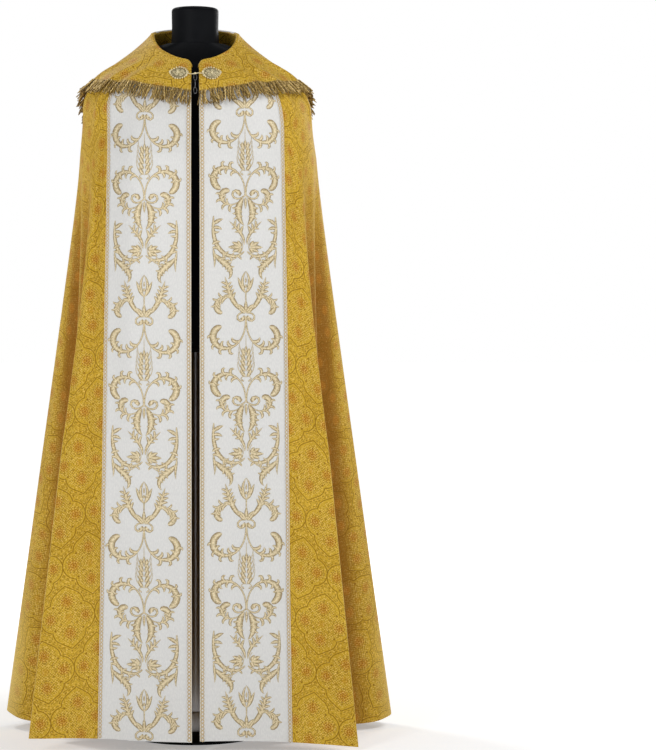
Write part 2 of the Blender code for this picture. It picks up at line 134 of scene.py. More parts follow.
# the hood's lower edge: the row at which it lies, by the degrees round from the front either way
HoodEdge = namedtuple("HoodEdge", "degrees row")
HOOD_EDGE = (
    HoodEdge(0.0, 0.94),
    HoodEdge(13.0, 0.87),
    HoodEdge(38.0, 0.80),
    HoodEdge(68.0, 0.85),
    HoodEdge(85.0, 0.90),
    HoodEdge(100.0, 1.05),
    HoodEdge(110.0, 1.24),
    HoodEdge(120.0, 1.43),
    HoodEdge(130.0, 1.61),
    HoodEdge(145.0, 1.77),
    HoodEdge(158.0, 1.89),
    HoodEdge(180.0, 1.99),
)

# soft troughs (minus) and ridges (plus): the turn where each lies at the chest, how it leans in
# turns for each row, the rows where it starts and ends, its half width in turns and its depth;
# then the rows over which each comes in and dies away
Ripple = namedtuple("Ripple", "turn lean top bottom width depth")
RIPPLES = (
    Ripple(0.62, 0.06, 0.9, 3.3, 0.30, -0.0030),
    Ripple(1.35, -0.05, 1.3, 3.3, 0.28, 0.0028),
    Ripple(2.36, 0.10, 1.2, 3.3, 0.16, -0.0070),
    Ripple(2.66, 0.06, 1.9, 3.3, 0.12, 0.0060),
    Ripple(11.45, -0.10, 1.3, 3.3, 0.16, -0.0110),
    Ripple(12.25, 0.12, 1.9, 3.3, 0.24, 0.0110),
    Ripple(13.05, -0.06, 1.9, 3.3, 0.28, -0.0110),
    Ripple(13.75, 0.04, 1.9, 3.3, 0.22, 0.0080),
    Ripple(14.25, 0.05, 1.8, 3.1, 0.20, -0.0120),
    Ripple(15.00, -0.08, 2.0, 3.3, 0.30, 0.0110),
    Ripple(15.70, -0.02, 2.2, 3.3, 0.20, -0.0070),
    Ripple(16.45, 0.06, 1.5, 3.3, 0.20, -0.0110),
    Ripple(25.50, -0.08, 1.4, 3.3, 0.14, -0.0060),
    Ripple(26.60, 0.04, 1.3, 3.3, 0.30, 0.0026),
    Ripple(27.30, -0.06, 1.0, 3.3, 0.26, -0.0028),
    Ripple(2.15, 0.35, 0.10, 1.50, 0.26, 0.0046),
    Ripple(3.60, 0.55, 0.20, 1.70, 0.40, 0.0060),
    Ripple(6.20, 0.30, 0.15, 1.60, 0.55, 0.0050),
    Ripple(10.60, -0.20, 0.20, 1.90, 0.50, 0.0058),
    Ripple(17.50, 0.25, 0.25, 1.80, 0.45, 0.0050),
    Ripple(21.60, -0.35, 0.10, 1.70, 0.55, 0.0056),
    Ripple(24.70, -0.50, 0.20, 1.50, 0.40, 0.0048),
    Ripple(26.05, -0.30, 0.10, 1.40, 0.24, 0.0040),
)
RIPPLE_EASE = 0.5


# ---------------------------------------------------------------- the cloth as a surface

def soft_weights(place, cuts):
    """Weights of control points for a line of straight legs rounded by parabolas.

    Within cuts[j] of point j the line is the parabola that touches both legs; elsewhere it is
    the straight leg between the two points beside it.
    """
    count = cuts.shape[-1]
    place = np.asarray(place, float)
    near = np.clip(np.floor(place + 0.5).astype(int), 0, count - 1)
    away = place - near
    cut = np.take_along_axis(cuts, near[..., None], axis=-1)[..., 0]
    inside = np.abs(away) < cut
    share = np.where(inside, (away + cut) / np.maximum(2 * cut, 1e-9), 0.0)
    onward = np.where(inside, share ** 2 * cut, np.maximum(away, 0.0))
    backward = np.where(inside, (1 - share) ** 2 * cut, np.maximum(-away, 0.0))
    points = np.arange(count)
    here = points == near[..., None]
    after = points == near[..., None] + 1
    before = points == near[..., None] - 1
    return (here * (1 - onward - backward)[..., None] + after * onward[..., None]
            + before * backward[..., None])


def ring_point(ring, degrees):
    """Half an oval to the front and half to the back, its height eased by the cosine between."""
    angle = math.radians(-degrees)
    side = math.sin(angle)
    ahead = math.cos(angle)
    half = ring.half_right if side < 0 else ring.half_left
    depth = ring.front if ahead > 0 else ring.back
    z_end = ring.z_front if ahead > 0 else ring.z_back
    return (-half * side, -depth * ahead, ring.z_side + (z_end - ring.z_side) * abs(ahead))


NECK, SHOULDER, CHEST = RINGS
NET = np.array([
    [ring_point(NECK, fold.neck) for fold in FOLDS],
    [ring_point(SHOULDER, fold.shoulder) for fold in FOLDS],
    [ring_point(CHEST, fold.shoulder) for fold in FOLDS],
    [(fold.x, fold.y, fold.z) for fold in FOLDS],
])
CREASES = np.array([fold.crease for fold in FOLDS])
SMOOTH = np.where(CREASES > 0, 0.5, 0.0)


def cloth(turn, row):
    """The middle of the cope's wall: ring weights times fold weights times the control net.

    Folds are fully rounded down to the chest and reach their own crease half way to the hem.
    """
    turn, row = np.broadcast_arrays(np.asarray(turn, float), np.asarray(row, float))
    ring_weights = soft_weights(row, np.broadcast_to(np.array(RING_CUTS), row.shape + (4,)))
    fall = np.clip((row - CHEST_ROW) * 2.0, 0.0, 1.0)[..., None]
    creases = SMOOTH + (CREASES - SMOOTH) * fall
    fold_weights = soft_weights(turn, creases)
    along = np.einsum("...r,rfc->...fc", ring_weights, NET)
    return np.einsum("...f,...fc->...c", fold_weights, along)


def eased(value, low, high):
    """0 below low and 1 above high, with the cubic 3t^2 - 2t^3 between."""
    t = np.clip((value - low) / (high - low), 0.0, 1.0)
    return t * t * (3 - 2 * t)


def settle(turn, row):
    """How far the soft troughs and ridges move the cloth outwards.

    Each is a bell exp(-((turn - line) / width)^2) across, eased in at its top and out at its
    bottom over RIPPLE_EASE rows.
    """
    lift = np.zeros(np.broadcast(turn, row).shape)
    for ripple in RIPPLES:
        across = (turn - ripple.turn - ripple.lean * (row - CHEST_ROW)) / ripple.width
        rise = eased(row, ripple.top, ripple.top + RIPPLE_EASE)
        fade = 1.0 - eased(row, ripple.bottom - RIPPLE_EASE, ripple.bottom)
        lift = lift + ripple.depth * np.exp(-across ** 2) * rise * fade
    return lift


# the rounded upper front corners: the turns and rows that a quarter of an oval takes off them, how
# much of that quarter is used, and the turns over which the cloth behind is drawn in
CORNER_TURNS = 0.24
CORNER_ROWS = 0.17
CORNER_QUARTER = 0.98
CORNER_DRAW = 1.5


def corner_inset(row):
    """How far the front edge draws back near the neckline, in turns."""
    reach = np.clip((CORNER_ROWS - row) / CORNER_ROWS, 0.0, 1.0)
    return CORNER_TURNS * (1 - np.sqrt(1 - reach ** 2 * CORNER_QUARTER))


def cornered(turn, row):
    """Turns drawn in at both front edges, so that the cloth's upper front corners are round."""
    left = np.clip(1 - turn / CORNER_DRAW, 0, 1)
    right = np.clip(1 - (LAST - turn) / CORNER_DRAW, 0, 1)
    return turn + corner_inset(row) * (left - right)


def unit(vectors):
    """Vectors divided by their own lengths."""
    return vectors / np.linalg.norm(vectors, axis=-1, keepdims=True)


def outward(turn, row, step=0.01):
    """The unit normal: the cross product of the steps across and down."""
    across = cloth(np.clip(turn + step, 0, LAST), row) - cloth(np.clip(turn - step, 0, LAST), row)
    down = cloth(turn, np.clip(row + step, 0, 3)) - cloth(turn, np.clip(row - step, 0, 3))
    return unit(np.cross(across, down))


def draped(turn, row, lift):
    """A point of a layer: the cloth moved along its normal by the lift and by what settles."""
    return cloth(turn, row) + outward(turn, row) * (lift + settle(turn, row))[..., None]


def both_faces(turn, row, lift, thick):
    """The outer and the inner face of a layer whose middle stands off by the lift."""
    return draped(turn, row, lift + thick / 2), draped(turn, row, lift - thick / 2)


def frames_at(turn, row, lift, ahead=0.004, behind=0.004):
    """Places on a layer with their three axes as columns: across, down and outwards.

    Down is the step from the rows behind to the rows ahead, and across is square to it.
    """
    out = outward(turn, row)
    down = unit(draped(turn, np.clip(row + ahead, 0, 3), lift)
                - draped(turn, np.clip(row - behind, 0, 3), lift))
    across = np.cross(down, out)
    return draped(turn, row, lift), np.stack([across, np.cross(out, across), out], axis=-1)


def hood_edge(turn):
    """The row at which the hood ends, read off its table by the degrees from the front."""
    degrees = np.interp(turn, np.arange(LAST + 1), [-fold.shoulder for fold in FOLDS])
    degrees = 180.0 - np.abs(degrees - 180.0)
    return np.interp(degrees, *np.array(HOOD_EDGE).T)


# how narrow a crease has to be, in turns, to get more columns, and the least step between columns
SHARP_CREASE = 0.3
LEAST_STEP = 0.004


def columns(low, high, each):
    """Columns from low to high: each to a fold interval, and more round every sharp crease."""
    turns = set(np.round(np.linspace(low, high, int(round((high - low) * each)) + 1), 5))
    for index in range(1, LAST):
        crease = FOLDS[index].crease
        if crease < SHARP_CREASE and low < index < high:
            turns |= {round(index + crease * part, 5) for part in (-1, -0.6, -0.3, 0, 0.3, 0.6, 1)}
    turns = np.array(sorted(turns))
    return turns[np.concatenate([[True], np.diff(turns) > LEAST_STEP])]


def length_along(points, axis):
    """Running length of a grid of points along one axis, starting at nought."""
    steps = np.linalg.norm(np.diff(points, axis=axis), axis=-1)
    return np.concatenate([np.zeros_like(np.take(steps, [0], axis)), np.cumsum(steps, axis)], axis)


def round_angles(count):
    """So many angles evenly round a circle."""
    return np.arange(count) * 2 * math.pi / count


# ---------------------------------------------------------------- meshes

def mesh_piece(name, points, faces, finish, slot, node=None, uv=None, shade=None, seam_angle=60):
    """One piece from points and a list of face arrays, each (count, corners), riding on the body.

    node is the CAD node that it stands in for. uv gives each point, or each face's corners in
    turn, a place on the flat cloth, and shade gives each point a tone of its own.
    """
    mesh = bpy.data.meshes.new(name)
    points = np.asarray(points, float).reshape(-1, 3)
    faces = [np.asarray(block, int) for block in faces if len(block)]
    corners = np.concatenate([block.ravel() for block in faces])
    sizes = np.concatenate([np.full(len(block), block.shape[1]) for block in faces])
    mesh.vertices.add(len(points))
    mesh.vertices.foreach_set("co", points.ravel())
    mesh.loops.add(len(corners))
    mesh.loops.foreach_set("vertex_index", corners)
    mesh.polygons.add(len(sizes))
    mesh.polygons.foreach_set("loop_start", np.concatenate([[0], np.cumsum(sizes)[:-1]]))
    mesh.update(calc_edges=True)
    mesh.shade_smooth()
    if seam_angle:
        mesh.set_sharp_from_angle(angle=math.radians(seam_angle))
    if uv is not None:
        flat = np.asarray(uv, float).reshape(-1, 2)
        flat = flat if len(flat) == len(corners) else flat[corners]
        mesh.uv_layers.new(name="cut").uv.foreach_set("vector", flat.ravel())
    if shade is not None:
        tone = mesh.attributes.new("tone", "FLOAT", "POINT")
        tone.data.foreach_set("value", np.asarray(shade, float).ravel())
    mesh.materials.append(finish)
    piece = bpy.data.objects.new(name, mesh)
    bpy.context.collection.objects.link(piece)
    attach(piece, "root")
    if node:
        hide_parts(node)
    return piece


def grid_quads(rows, cols, wrap=False, loop=False):
    """The quads of a grid of points, its columns wrapped round or its rows looped if asked."""
    number = np.arange(rows * cols).reshape(rows, cols)
    if wrap:
        number = np.concatenate([number, number[:, :1]], axis=1)
    if loop:
        number = np.concatenate([number, number[:1]])
    corners = (number[:-1, :-1], number[1:, :-1], number[1:, 1:], number[:-1, 1:])
    return np.stack(corners, axis=-1).reshape(-1, 4)


def end_caps(rows, sides):
    """The two faces that close the ends of a wrapped grid."""
    return np.stack([np.arange(sides)[::-1], (rows - 1) * sides + np.arange(sides)])


def wall_piece(name, walls, finish, slot, node, uv=None, shade=None):
    """A closed wall between an outer and an inner grid of points, sharing one grid of tones.

    uv is a grid of flat places, or a function from faces to the flat places of their corners.
    Without it, each point lies at its own length across and down the outer grid.
    """
    outer, inner = walls
    rows, cols = outer.shape[:2]
    number = np.arange(rows * cols).reshape(rows, cols)
    rim = np.concatenate([number[0], number[1:, -1], number[-1, -2::-1], number[-2:0:-1, 0]])
    onward = np.roll(rim, -1)
    quads = grid_quads(rows, cols)
    edge = np.stack([rim, onward, onward + number.size, rim + number.size], axis=1)
    faces = [quads, (quads + number.size)[:, ::-1], edge]
    if uv is None:
        uv = np.stack([length_along(outer, 1), length_along(outer, 0)], axis=-1)
    if callable(uv):
        flat = np.concatenate([uv(block) for block in faces])
    else:
        flat = np.tile(uv.reshape(-1, 2), (2, 1))
    tones = np.full(2 * number.size, 0.5) if shade is None else np.tile(shade.ravel(), 2)
    points = np.concatenate([outer.reshape(-1, 3), inner.reshape(-1, 3)])
    return mesh_piece(name, points, faces, finish, slot, node, uv=flat, shade=tones)


# A shape is (points, [face arrays]).

def repeated(faces, copies, each):
    """The face arrays of many copies of a shape that has so many points each."""
    shift = (np.arange(copies) * each)[:, None, None]
    return [(block[None] + shift).reshape(-1, block.shape[1]) for block in faces]


def tubes(paths, radii, sides):
    """Round bars along many paths at once, closed by a cap at each end.

    paths is (bars, steps, 3) and radii (bars, steps). Each ring lies in the plane across the
    path: radius times (cos a first + sin a second), where first and second are unit and square
    to the path.
    """
    bars, steps = paths.shape[:2]
    way = unit(np.gradient(paths, axis=1))
    upright = np.abs(way[:, :1, 2:3]) > 0.8
    lean = np.where(upright, np.array([[[1.0, 0, 0]]]), np.array([[[0, 0, 1.0]]]))
    first = unit(np.cross(way, np.broadcast_to(lean, way.shape)))
    second = np.cross(way, first)
    angles = round_angles(sides)[:, None]
    ring = first[:, :, None] * np.cos(angles) + second[:, :, None] * np.sin(angles)
    points = paths[:, :, None] + ring * radii[:, :, None, None]
    faces = [grid_quads(steps, sides, wrap=True)[:, ::-1], end_caps(steps, sides)[:, ::-1]]
    return points.reshape(-1, 3), repeated(faces, bars, steps * sides)


def wire_ring(centre, ray, wire, sides):
    """A closed ring of wire: centre + wire (cos b ray + sin b up) at each step round it."""
    b = round_angles(sides)[:, None]
    around = ray[:, None] * np.cos(b) + np.array([0, 0, 1.0]) * np.sin(b)
    points = centre[:, None] + around * wire
    return points.reshape(-1, 3), [grid_quads(len(centre), sides, wrap=True, loop=True)]


def oval_ring(wide, high, wire, steps, sides):
    """A small oval ring of wire in the plane of its first two axes."""
    a = round_angles(steps)
    ray = np.stack([np.cos(a), np.sin(a), np.zeros(steps)], axis=1)
    return wire_ring(ray * np.array([wide / 2, high / 2, 0.0]), ray, wire, sides)


def bead_shape(radius, rows, sides, stretch=(1.0, 1.0, 1.0)):
    """A small bead, round or stretched along its axes, closed by a point at each pole."""
    up = np.linspace(-math.pi / 2, math.pi / 2, rows + 2)[1:-1, None]
    side = np.arange(sides)
    a = round_angles(sides)
    ball = np.stack([np.cos(up) * np.cos(a), np.cos(up) * np.sin(a),
                     np.broadcast_to(np.sin(up), (rows, sides))], axis=-1).reshape(-1, 3)
    points = np.concatenate([ball, [[0, 0, -1], [0, 0, 1]]]) * radius * np.array(stretch)
    low, onward, last = rows * sides, (side + 1) % sides, (rows - 1) * sides
    foot = np.stack([np.full(sides, low), onward, side], axis=1)
    head = np.stack([np.full(sides, low + 1), last + side, last + onward], axis=1)
    return points, [grid_quads(rows, sides, wrap=True)[:, ::-1], foot, head]


def scattered(shape, places, axes=None):
    """Copies of a small shape: place + axes applied to each of its points."""
    points, faces = shape
    axes = np.broadcast_to(np.eye(3), (len(places), 3, 3)) if axes is None else axes
    made = places[:, None] + np.einsum("nij,pj->npi", axes, points)
    return made.reshape(-1, 3), repeated(faces, len(places), len(points))


def joined(shapes):
    """Several shapes made one, with the face numbers moved on."""
    points, faces, start = [], [], 0
    for own, blocks in shapes:
        points.append(own)
        faces += [block + start for block in blocks if len(block)]
        start += len(own)
    return np.concatenate(points), faces


# ---------------------------------------------------------------- shader fields

class Field:
    """A number that varies over a surface, worked out by Math nodes in one node tree."""

    def __init__(self, tree, socket):
        self.tree = tree
        self.socket = socket

    def math(self, operation, *others):
        """A Math node of this field and of more fields or plain numbers."""
        made = self.tree.nodes.new("ShaderNodeMath")
        made.operation = operation
        for place, value in zip(made.inputs, (self, *others)):
            if isinstance(value, Field):
                self.tree.links.new(value.socket, place)
            else:
                place.default_value = value
        return Field(self.tree, made.outputs[0])

    __add__ = partialmethod(math, "ADD")
    __sub__ = partialmethod(math, "SUBTRACT")
    __mul__ = partialmethod(math, "MULTIPLY")
    __truediv__ = partialmethod(math, "DIVIDE")
    __abs__ = partialmethod(math, "ABSOLUTE")
    floor = partialmethod(math, "FLOOR")
    sine = partialmethod(math, "SINE")
    least = partialmethod(math, "MINIMUM")
    over = partialmethod(math, "GREATER_THAN")

    def most(self, *others):
        """The greatest of this field and the others."""
        found = self
        for other in others:
            found = found.math("MAXIMUM", other)
        return found

    def flipped(self):
        """One less the value."""
        return (self * -1.0) + 1.0

    def length(self, other):
        """The length of the flat vector that this field and another make."""
        return ((self * self) + (other * other)).math("SQRT")

    def ease(self, low, high):
        """0 to 1 as the value goes from low to high, smoothly; from 1 to 0 if low is the higher."""
        made = self.tree.nodes.new("ShaderNodeMapRange")
        made.interpolation_type = "SMOOTHSTEP"
        ends = (high, low, 1.0, 0.0) if low > high else (low, high, 0.0, 1.0)
        self.tree.links.new(self.socket, made.inputs["Value"])
        for name, value in zip(("From Min", "From Max", "To Min", "To Max"), ends):
            made.inputs[name].default_value = value
        return Field(self.tree, made.outputs["Result"])

    def line(self, width, soft):
        """1 within width of nought, fading to 0 over soft."""
        return abs(self).ease(width + soft, width)


def node_group(name, inputs, outputs):
    """An empty node group with (label, kind) inputs and number outputs, and its two ends."""
    group = bpy.data.node_groups.new(name, "ShaderNodeTree")
    sockets = [("INPUT", *each) for each in inputs]
    sockets += [("OUTPUT", label, "Float") for label in outputs]
    for way, label, kind in sockets:
        group.interface.new_socket(name=label, in_out=way, socket_type="NodeSocket" + kind)
    ends = group.nodes.new("NodeGroupInput").outputs, group.nodes.new("NodeGroupOutput").inputs
    return group, *ends


def split_xy(tree, vector):
    """The first two parts of a vector as fields."""
    parts = tree.nodes.new("ShaderNodeSeparateXYZ")
    tree.links.new(vector, parts.inputs[0])
    return Field(tree, parts.outputs[0]), Field(tree, parts.outputs[1])


def stretched(tree, vector, scale):
    """A vector scaled along its three axes."""
    made = tree.nodes.new("ShaderNodeMapping")
    made.inputs["Scale"].default_value = scale
    tree.links.new(vector, made.inputs["Vector"])
    return made.outputs[0]


def noise_field(tree, vector, scale, detail=2.0, rough=0.5):
    """Blender's noise, as a field between 0 and 1."""
    made = tree.nodes.new("ShaderNodeTexNoise")
    tree.links.new(vector, made.inputs["Vector"])
    for label, value in (("Scale", scale), ("Detail", detail), ("Roughness", rough)):
        made.inputs[label].default_value = value
    return Field(tree, made.outputs["Fac"])


# The damask, in millimetres on the flat cloth: the pitch of its columns and rows; the centre and
# radius of a quatrefoil's lobe above its middle and of the one beside; and, to draw that one out
# to a point, where the tangent meets the middle line, its cosine and sine, and where it leaves the
# circle. Then how far off the middle the rosettes in the two lobes are, and the pitch of the dots
# that run between two quatrefoils.
COLUMN_PITCH = 103.0
ROW_PITCH = 109.0
LOBE_ABOVE, ABOVE_RADIUS = 25.5, 29.0
LOBE_BESIDE, BESIDE_RADIUS = (27.5, 5.1), 27.0
POINT_AT = 64.0
TANGENT_COS, TANGENT_SIN = 0.820, 0.572
TANGENT_FROM = (49.6, 20.5)
ROSETTE_BESIDE, ROSETTE_ABOVE = 32.5, 34.5
TAIL_PITCH = 5.2


def quatrefoil_group():
    """Half-drop damask of ogee quatrefoils.

    Distance to a quatrefoil's outline, mirrored both ways: the lesser of the distance to the
    round lobe above and to the lobe beside, which is a circle drawn out to a point along two
    tangents. Dashed lines run outside it, and rosettes of dots on rings fill the four lobes.
    """
    group, start, end = node_group("quatrefoil_damask", [("Cut", "Vector")], (
        "Line", "Band", "Rosette", "Bloom", "Dark dots", "Light dots", "Inside"))
    u, v = split_xy(group, start["Cut"])
    x, y = u * 1000.0, v * 1000.0
    column = (x / COLUMN_PITCH + 0.5).floor()
    half = column * 0.5
    y = y - (half - half.floor()) * ROW_PITCH
    x, y = abs(x - column * COLUMN_PITCH), abs(y - (y / ROW_PITCH + 0.5).floor() * ROW_PITCH)

    def edge(a, b):
        """Distance outside the quatrefoil whose middle is nought."""
        above = a.length(b - LOBE_ABOVE) - ABOVE_RADIUS
        beside = (a - LOBE_BESIDE[0]).length(b - LOBE_BESIDE[1]) - BESIDE_RADIUS
        tangent = (a - POINT_AT) * TANGENT_COS + b * TANGENT_SIN
        past = (a - TANGENT_FROM[0]) * TANGENT_SIN - (b - TANGENT_FROM[1]) * TANGENT_COS
        return above.least(beside + (tangent - beside) * past.over(0.0))

    def ring(a, b, reach, count, size):
        """Round dots, evenly spaced on a circle of that reach."""
        part = b.math("ARCTAN2", a) * (count / (2 * math.pi))
        along = (part - (part + 0.5).floor()) * (2 * math.pi * reach / count)
        return along.length(a.length(b) - reach).ease(size * 1.25, size * 0.55)

    def diamond(a, b, size):
        """A small diamond, from the distances across and up from its middle."""
        return (a + b).ease(size, size - 1.6)

    own = edge(x, y)
    near = edge(abs((x * -1.0) + COLUMN_PITCH), abs((y * -1.0) + ROW_PITCH / 2))
    nearest = own.least(near)
    outline = abs(own).least(abs(near)).ease(1.15, 0.45)
    dashes = (nearest - 4.2).line(0.75, 0.6) * ((x - y) * 0.50).sine().ease(-0.35, 0.10)
    fainter = (nearest - 7.4).line(0.65, 0.6) * ((x + y) * 0.50).sine().ease(-0.20, 0.25)

    # the nearer of the rosettes in the lobe above and in the lobe beside
    above = ((x - ROSETTE_BESIDE).length(y) - x.length(y - ROSETTE_ABOVE)).over(0.0)
    a = x - above.flipped() * ROSETTE_BESIDE
    b = y - above * ROSETTE_ABOVE
    bloom = (a * (above * 0.16 + 0.84)).length(b).ease(12.5, 5.0)
    rosette = a.length(b).ease(2.6, 1.2).most(
        ring(a, b, 4.7, 6, 1.75), ring(a, b, 9.6, 11, 1.65) * 0.85)
    heart = ring(x, y, 5.4, 8, 1.5).most(x.length(y).ease(2.4, 1.0))

    tail = ((x / TAIL_PITCH) - (x / TAIL_PITCH + 0.5).floor()) * TAIL_PITCH
    tail = tail.length(y).ease(1.9, 0.9) * x.ease(43.0, 44.0) * x.ease(56.0, 55.0)
    seeds = ring(a, b, 14.2, 13, 1.35) * nearest.ease(-2.0, -4.0)
    check = (x * 1.16).sine() * (y * 1.16).sine()
    deep = nearest.ease(-4.5, -8.0)
    speckle = noise_field(group, start["Cut"], 210.0, 1.0)
    pips = diamond(abs(x - 24.0), abs(y - 27.0), 3.4).most(
        diamond(abs(x - 12.0), abs(y - 15.0), 3.2) * 0.8, diamond(abs(x - 17.5), y, 3.2) * 0.8)
    dark = check.ease(0.15, 0.60) * deep * speckle.ease(0.36, 0.56) * 0.8
    for label, field in (
            ("Line", outline.most(dashes.most(fainter * 0.6) * 0.75)),
            ("Band", nearest.ease(1.2, 2.2)),
            ("Rosette", rosette.most(heart * 0.45)),
            ("Bloom", bloom.most(x.length(y).ease(10.0, 3.0) * 0.4)),
            ("Dark dots", dark.most(pips, seeds * 0.9, tail)),
            ("Light dots", check.ease(-0.20, -0.60) * deep * speckle.ease(0.62, 0.42)),
            ("Inside", nearest.ease(0.6, -0.6))):
        group.links.new(field.socket, end[label])
    return group


def weave_group():
    """Crossed threads on the flat cloth: a fine rib each way and slubs of uneven tone."""
    group, start, end = node_group(
        "crossed_threads", [("Cut", "Vector"), ("Threads per mm", "Float")],
        ("Height", "Slub", "Fleck"))
    u, v = split_xy(group, start["Cut"])
    rate = Field(group, start["Threads per mm"]) * (2000.0 * math.pi)
    warp, weft = (u * rate).sine(), (v * rate).sine()
    drawn_out = stretched(group, start["Cut"], (1.0, 0.35, 1.0))
    for label, field in (("Height", (warp * 0.5 + weft * 0.5) * 0.5 + 0.5),
                         ("Slub", noise_field(group, drawn_out, 420.0, 3.0, 0.6)),
                         ("Fleck", noise_field(group, start["Cut"], 265.0, 2.0, 0.75))):
        group.links.new(field.socket, end[label])
    return group


QUATREFOIL = quatrefoil_group()
WEAVE = weave_group()


class Finish:
    """A material with its Principled shader and the helpers to feed it."""

    def __init__(self, name, **constants):
        self.material = bpy.data.materials.new(name)
        self.material.use_nodes = True
        self.tree = self.material.node_tree
        self.shader = self.tree.nodes["Principled BSDF"]
        for label, value in constants.items():
            self.shader.inputs[label.replace("_", " ")].default_value = value

    def cut(self):
        """A point's place on the flat cloth."""
        made = self.tree.nodes.new("ShaderNodeUVMap")
        made.uv_map = "cut"
        return made.outputs["UV"]

    def place(self):
        """A point's place on the object."""
        return self.tree.nodes.new("ShaderNodeTexCoord").outputs["Object"]

    def tone(self):
        """The tone that a piece's points carry."""
        made = self.tree.nodes.new("ShaderNodeAttribute")
        made.attribute_name = "tone"
        return Field(self.tree, made.outputs["Fac"])

    def grain(self, scale, detail=2.0):
        """Noise by a point's place on the object."""
        return noise_field(self.tree, self.place(), scale, detail)

    def pattern(self, group, **values):
        """A node group on the flat cloth, with its numbers, as fields by their labels."""
        made = self.tree.nodes.new("ShaderNodeGroup")
        made.node_tree = group
        self.tree.links.new(self.cut(), made.inputs["Cut"])
        for label, value in values.items():
            made.inputs[label.replace("_", " ")].default_value = value
        return {out.name: Field(self.tree, out) for out in made.outputs}

    def coats(self, ground, *coats):
        """A ground colour with coats over it, each the share that it covers and its colour."""
        for share, colour in coats:
            made = self.tree.nodes.new("ShaderNodeMix")
            made.data_type = "RGBA"
            self.tree.links.new(share.socket, made.inputs["Factor"])
            below, above = (place for place in made.inputs if place.type == "RGBA")
            if isinstance(ground, tuple):
                below.default_value = (*ground, 1.0)
            else:
                self.tree.links.new(ground, below)
            above.default_value = (*colour, 1.0)
            ground = next(place for place in made.outputs if place.type == "RGBA")
        return ground

    def feed(self, label, source):
        """Joins a field or a colour to the shader."""
        self.tree.links.new(getattr(source, "socket", source), self.shader.inputs[label])

    def done(self, colour, rough, height, depth):
        """The material, with its colour, its roughness and a relief of that depth in metres."""
        self.feed("Base Color", colour)
        self.feed("Roughness", rough)
        made = self.tree.nodes.new("ShaderNodeBump")
        made.inputs["Strength"].default_value = 1.0
        made.inputs["Distance"].default_value = depth
        self.tree.links.new(height.socket, made.inputs["Height"])
        self.feed("Normal", made.outputs["Normal"])
        return self.material


def gold_brocade():
    """Gold silk: ogee quatrefoils in brown line, rust rosettes, fine threads and a soft sheen.

    The tone is 0.5 on open cloth, less for painted shade down in a fold and more for a painted
    highlight along a fold.
    """
    made = Finish("gold_brocade", Metallic=0.0, Sheen_Weight=0.10, Sheen_Roughness=0.4,
                  Sheen_Tint=(1.0, 0.76, 0.30, 1.0), Specular_IOR_Level=0.26,
                  Specular_Tint=(1.0, 0.80, 0.38, 1.0))
    damask = made.pattern(QUATREFOIL)
    threads = made.pattern(WEAVE, Threads_per_mm=0.9)
    slub, fleck, tone = threads["Slub"], threads["Fleck"], made.tone()
    broad = noise_field(made.tree, made.cut(), 7.0)
    # 1 outside the painted shade and down to 0.35 deep in it, where bright threads and light dots
    # fade
    outside_painted_shade = tone.ease(0.0, 0.45) * 0.65 + 0.35
    colour = made.coats(
        (0.530, 0.312, 0.020),
        (broad.ease(0.3, 0.7), (0.625, 0.388, 0.032)),                        # broad, uneven light
        (damask["Inside"] * 0.30, (0.63, 0.405, 0.038)),                      # the quatrefoils
        (damask["Band"] * slub.ease(0.45, 0.62) * 0.40, (0.78, 0.53, 0.09)),  # round them
        (tone.ease(0.5, 0.0) * 0.88, (0.250, 0.080, 0.005)),                  # painted shade in the folds, rust-brown
        (damask["Bloom"] * 0.50, (0.58, 0.240, 0.020)),                       # round a rosette
        (fleck.ease(0.54, 0.68) * outside_painted_shade * 0.64, (0.95, 0.70, 0.20)),     # bright threads
        (fleck.ease(0.46, 0.33) * 0.66, (0.27, 0.125, 0.006)),                # dark threads
        (damask["Light dots"] * outside_painted_shade * 0.45, (0.88, 0.68, 0.26)),
        (damask["Dark dots"] * 0.80, (0.215, 0.090, 0.006)),
        (damask["Rosette"] * 0.80, (0.350, 0.115, 0.008)),
        (damask["Line"] * 0.82, (0.200, 0.092, 0.006)),
        (tone.ease(0.5, 1.0) * 0.65, (0.95, 0.72, 0.24)))                     # painted highlight along the folds
    return made.done(colour, slub * 0.16 + damask["Line"] * 0.10 + 0.48,
                     threads["Height"] * 0.35 + damask["Inside"] * 0.2 + fleck * 0.6, 0.00025)


def white_satin():
    """White satin ground of the orphreys, cool in the shade, with its fine warp."""
    made = Finish("white_satin", Metallic=0.0, Sheen_Weight=0.06, Sheen_Roughness=0.3,
                  Specular_IOR_Level=0.45)
    threads = made.pattern(WEAVE, Threads_per_mm=1.4)
    slub = threads["Slub"]
    colour = made.coats((0.70, 0.695, 0.68), (slub.ease(0.3, 0.8), (0.79, 0.785, 0.76)))
    return made.done(colour, slub * 0.14 + 0.34, threads["Height"] * 0.4 + slub * 0.5, 0.00012)


def woven_gold():
    """Gold weft of the figures: tan at their edges, pale down the middle as a painted highlight,
    with uneven threads.
    """
    made = Finish("woven_gold", Metallic=0.15, Specular_IOR_Level=0.45,
                  Specular_Tint=(1.0, 0.86, 0.60, 1.0))
    threads = made.pattern(WEAVE, Threads_per_mm=0.8)
    fleck = threads["Fleck"]
    colour = made.coats(
        (0.275, 0.196, 0.090),
        # the pale middle of each band: a painted highlight along its spine
        (made.tone().ease(0.45, 1.0), (0.80, 0.680, 0.445)),
        (fleck.ease(0.52, 0.68) * 0.55, (0.94, 0.85, 0.64)),
        (fleck.ease(0.48, 0.34) * 0.65, (0.285, 0.200, 0.090)))
    return made.done(colour, threads["Slub"] * 0.2 + 0.36,
                     threads["Height"] * 0.6 + fleck * 0.4, 0.00015)


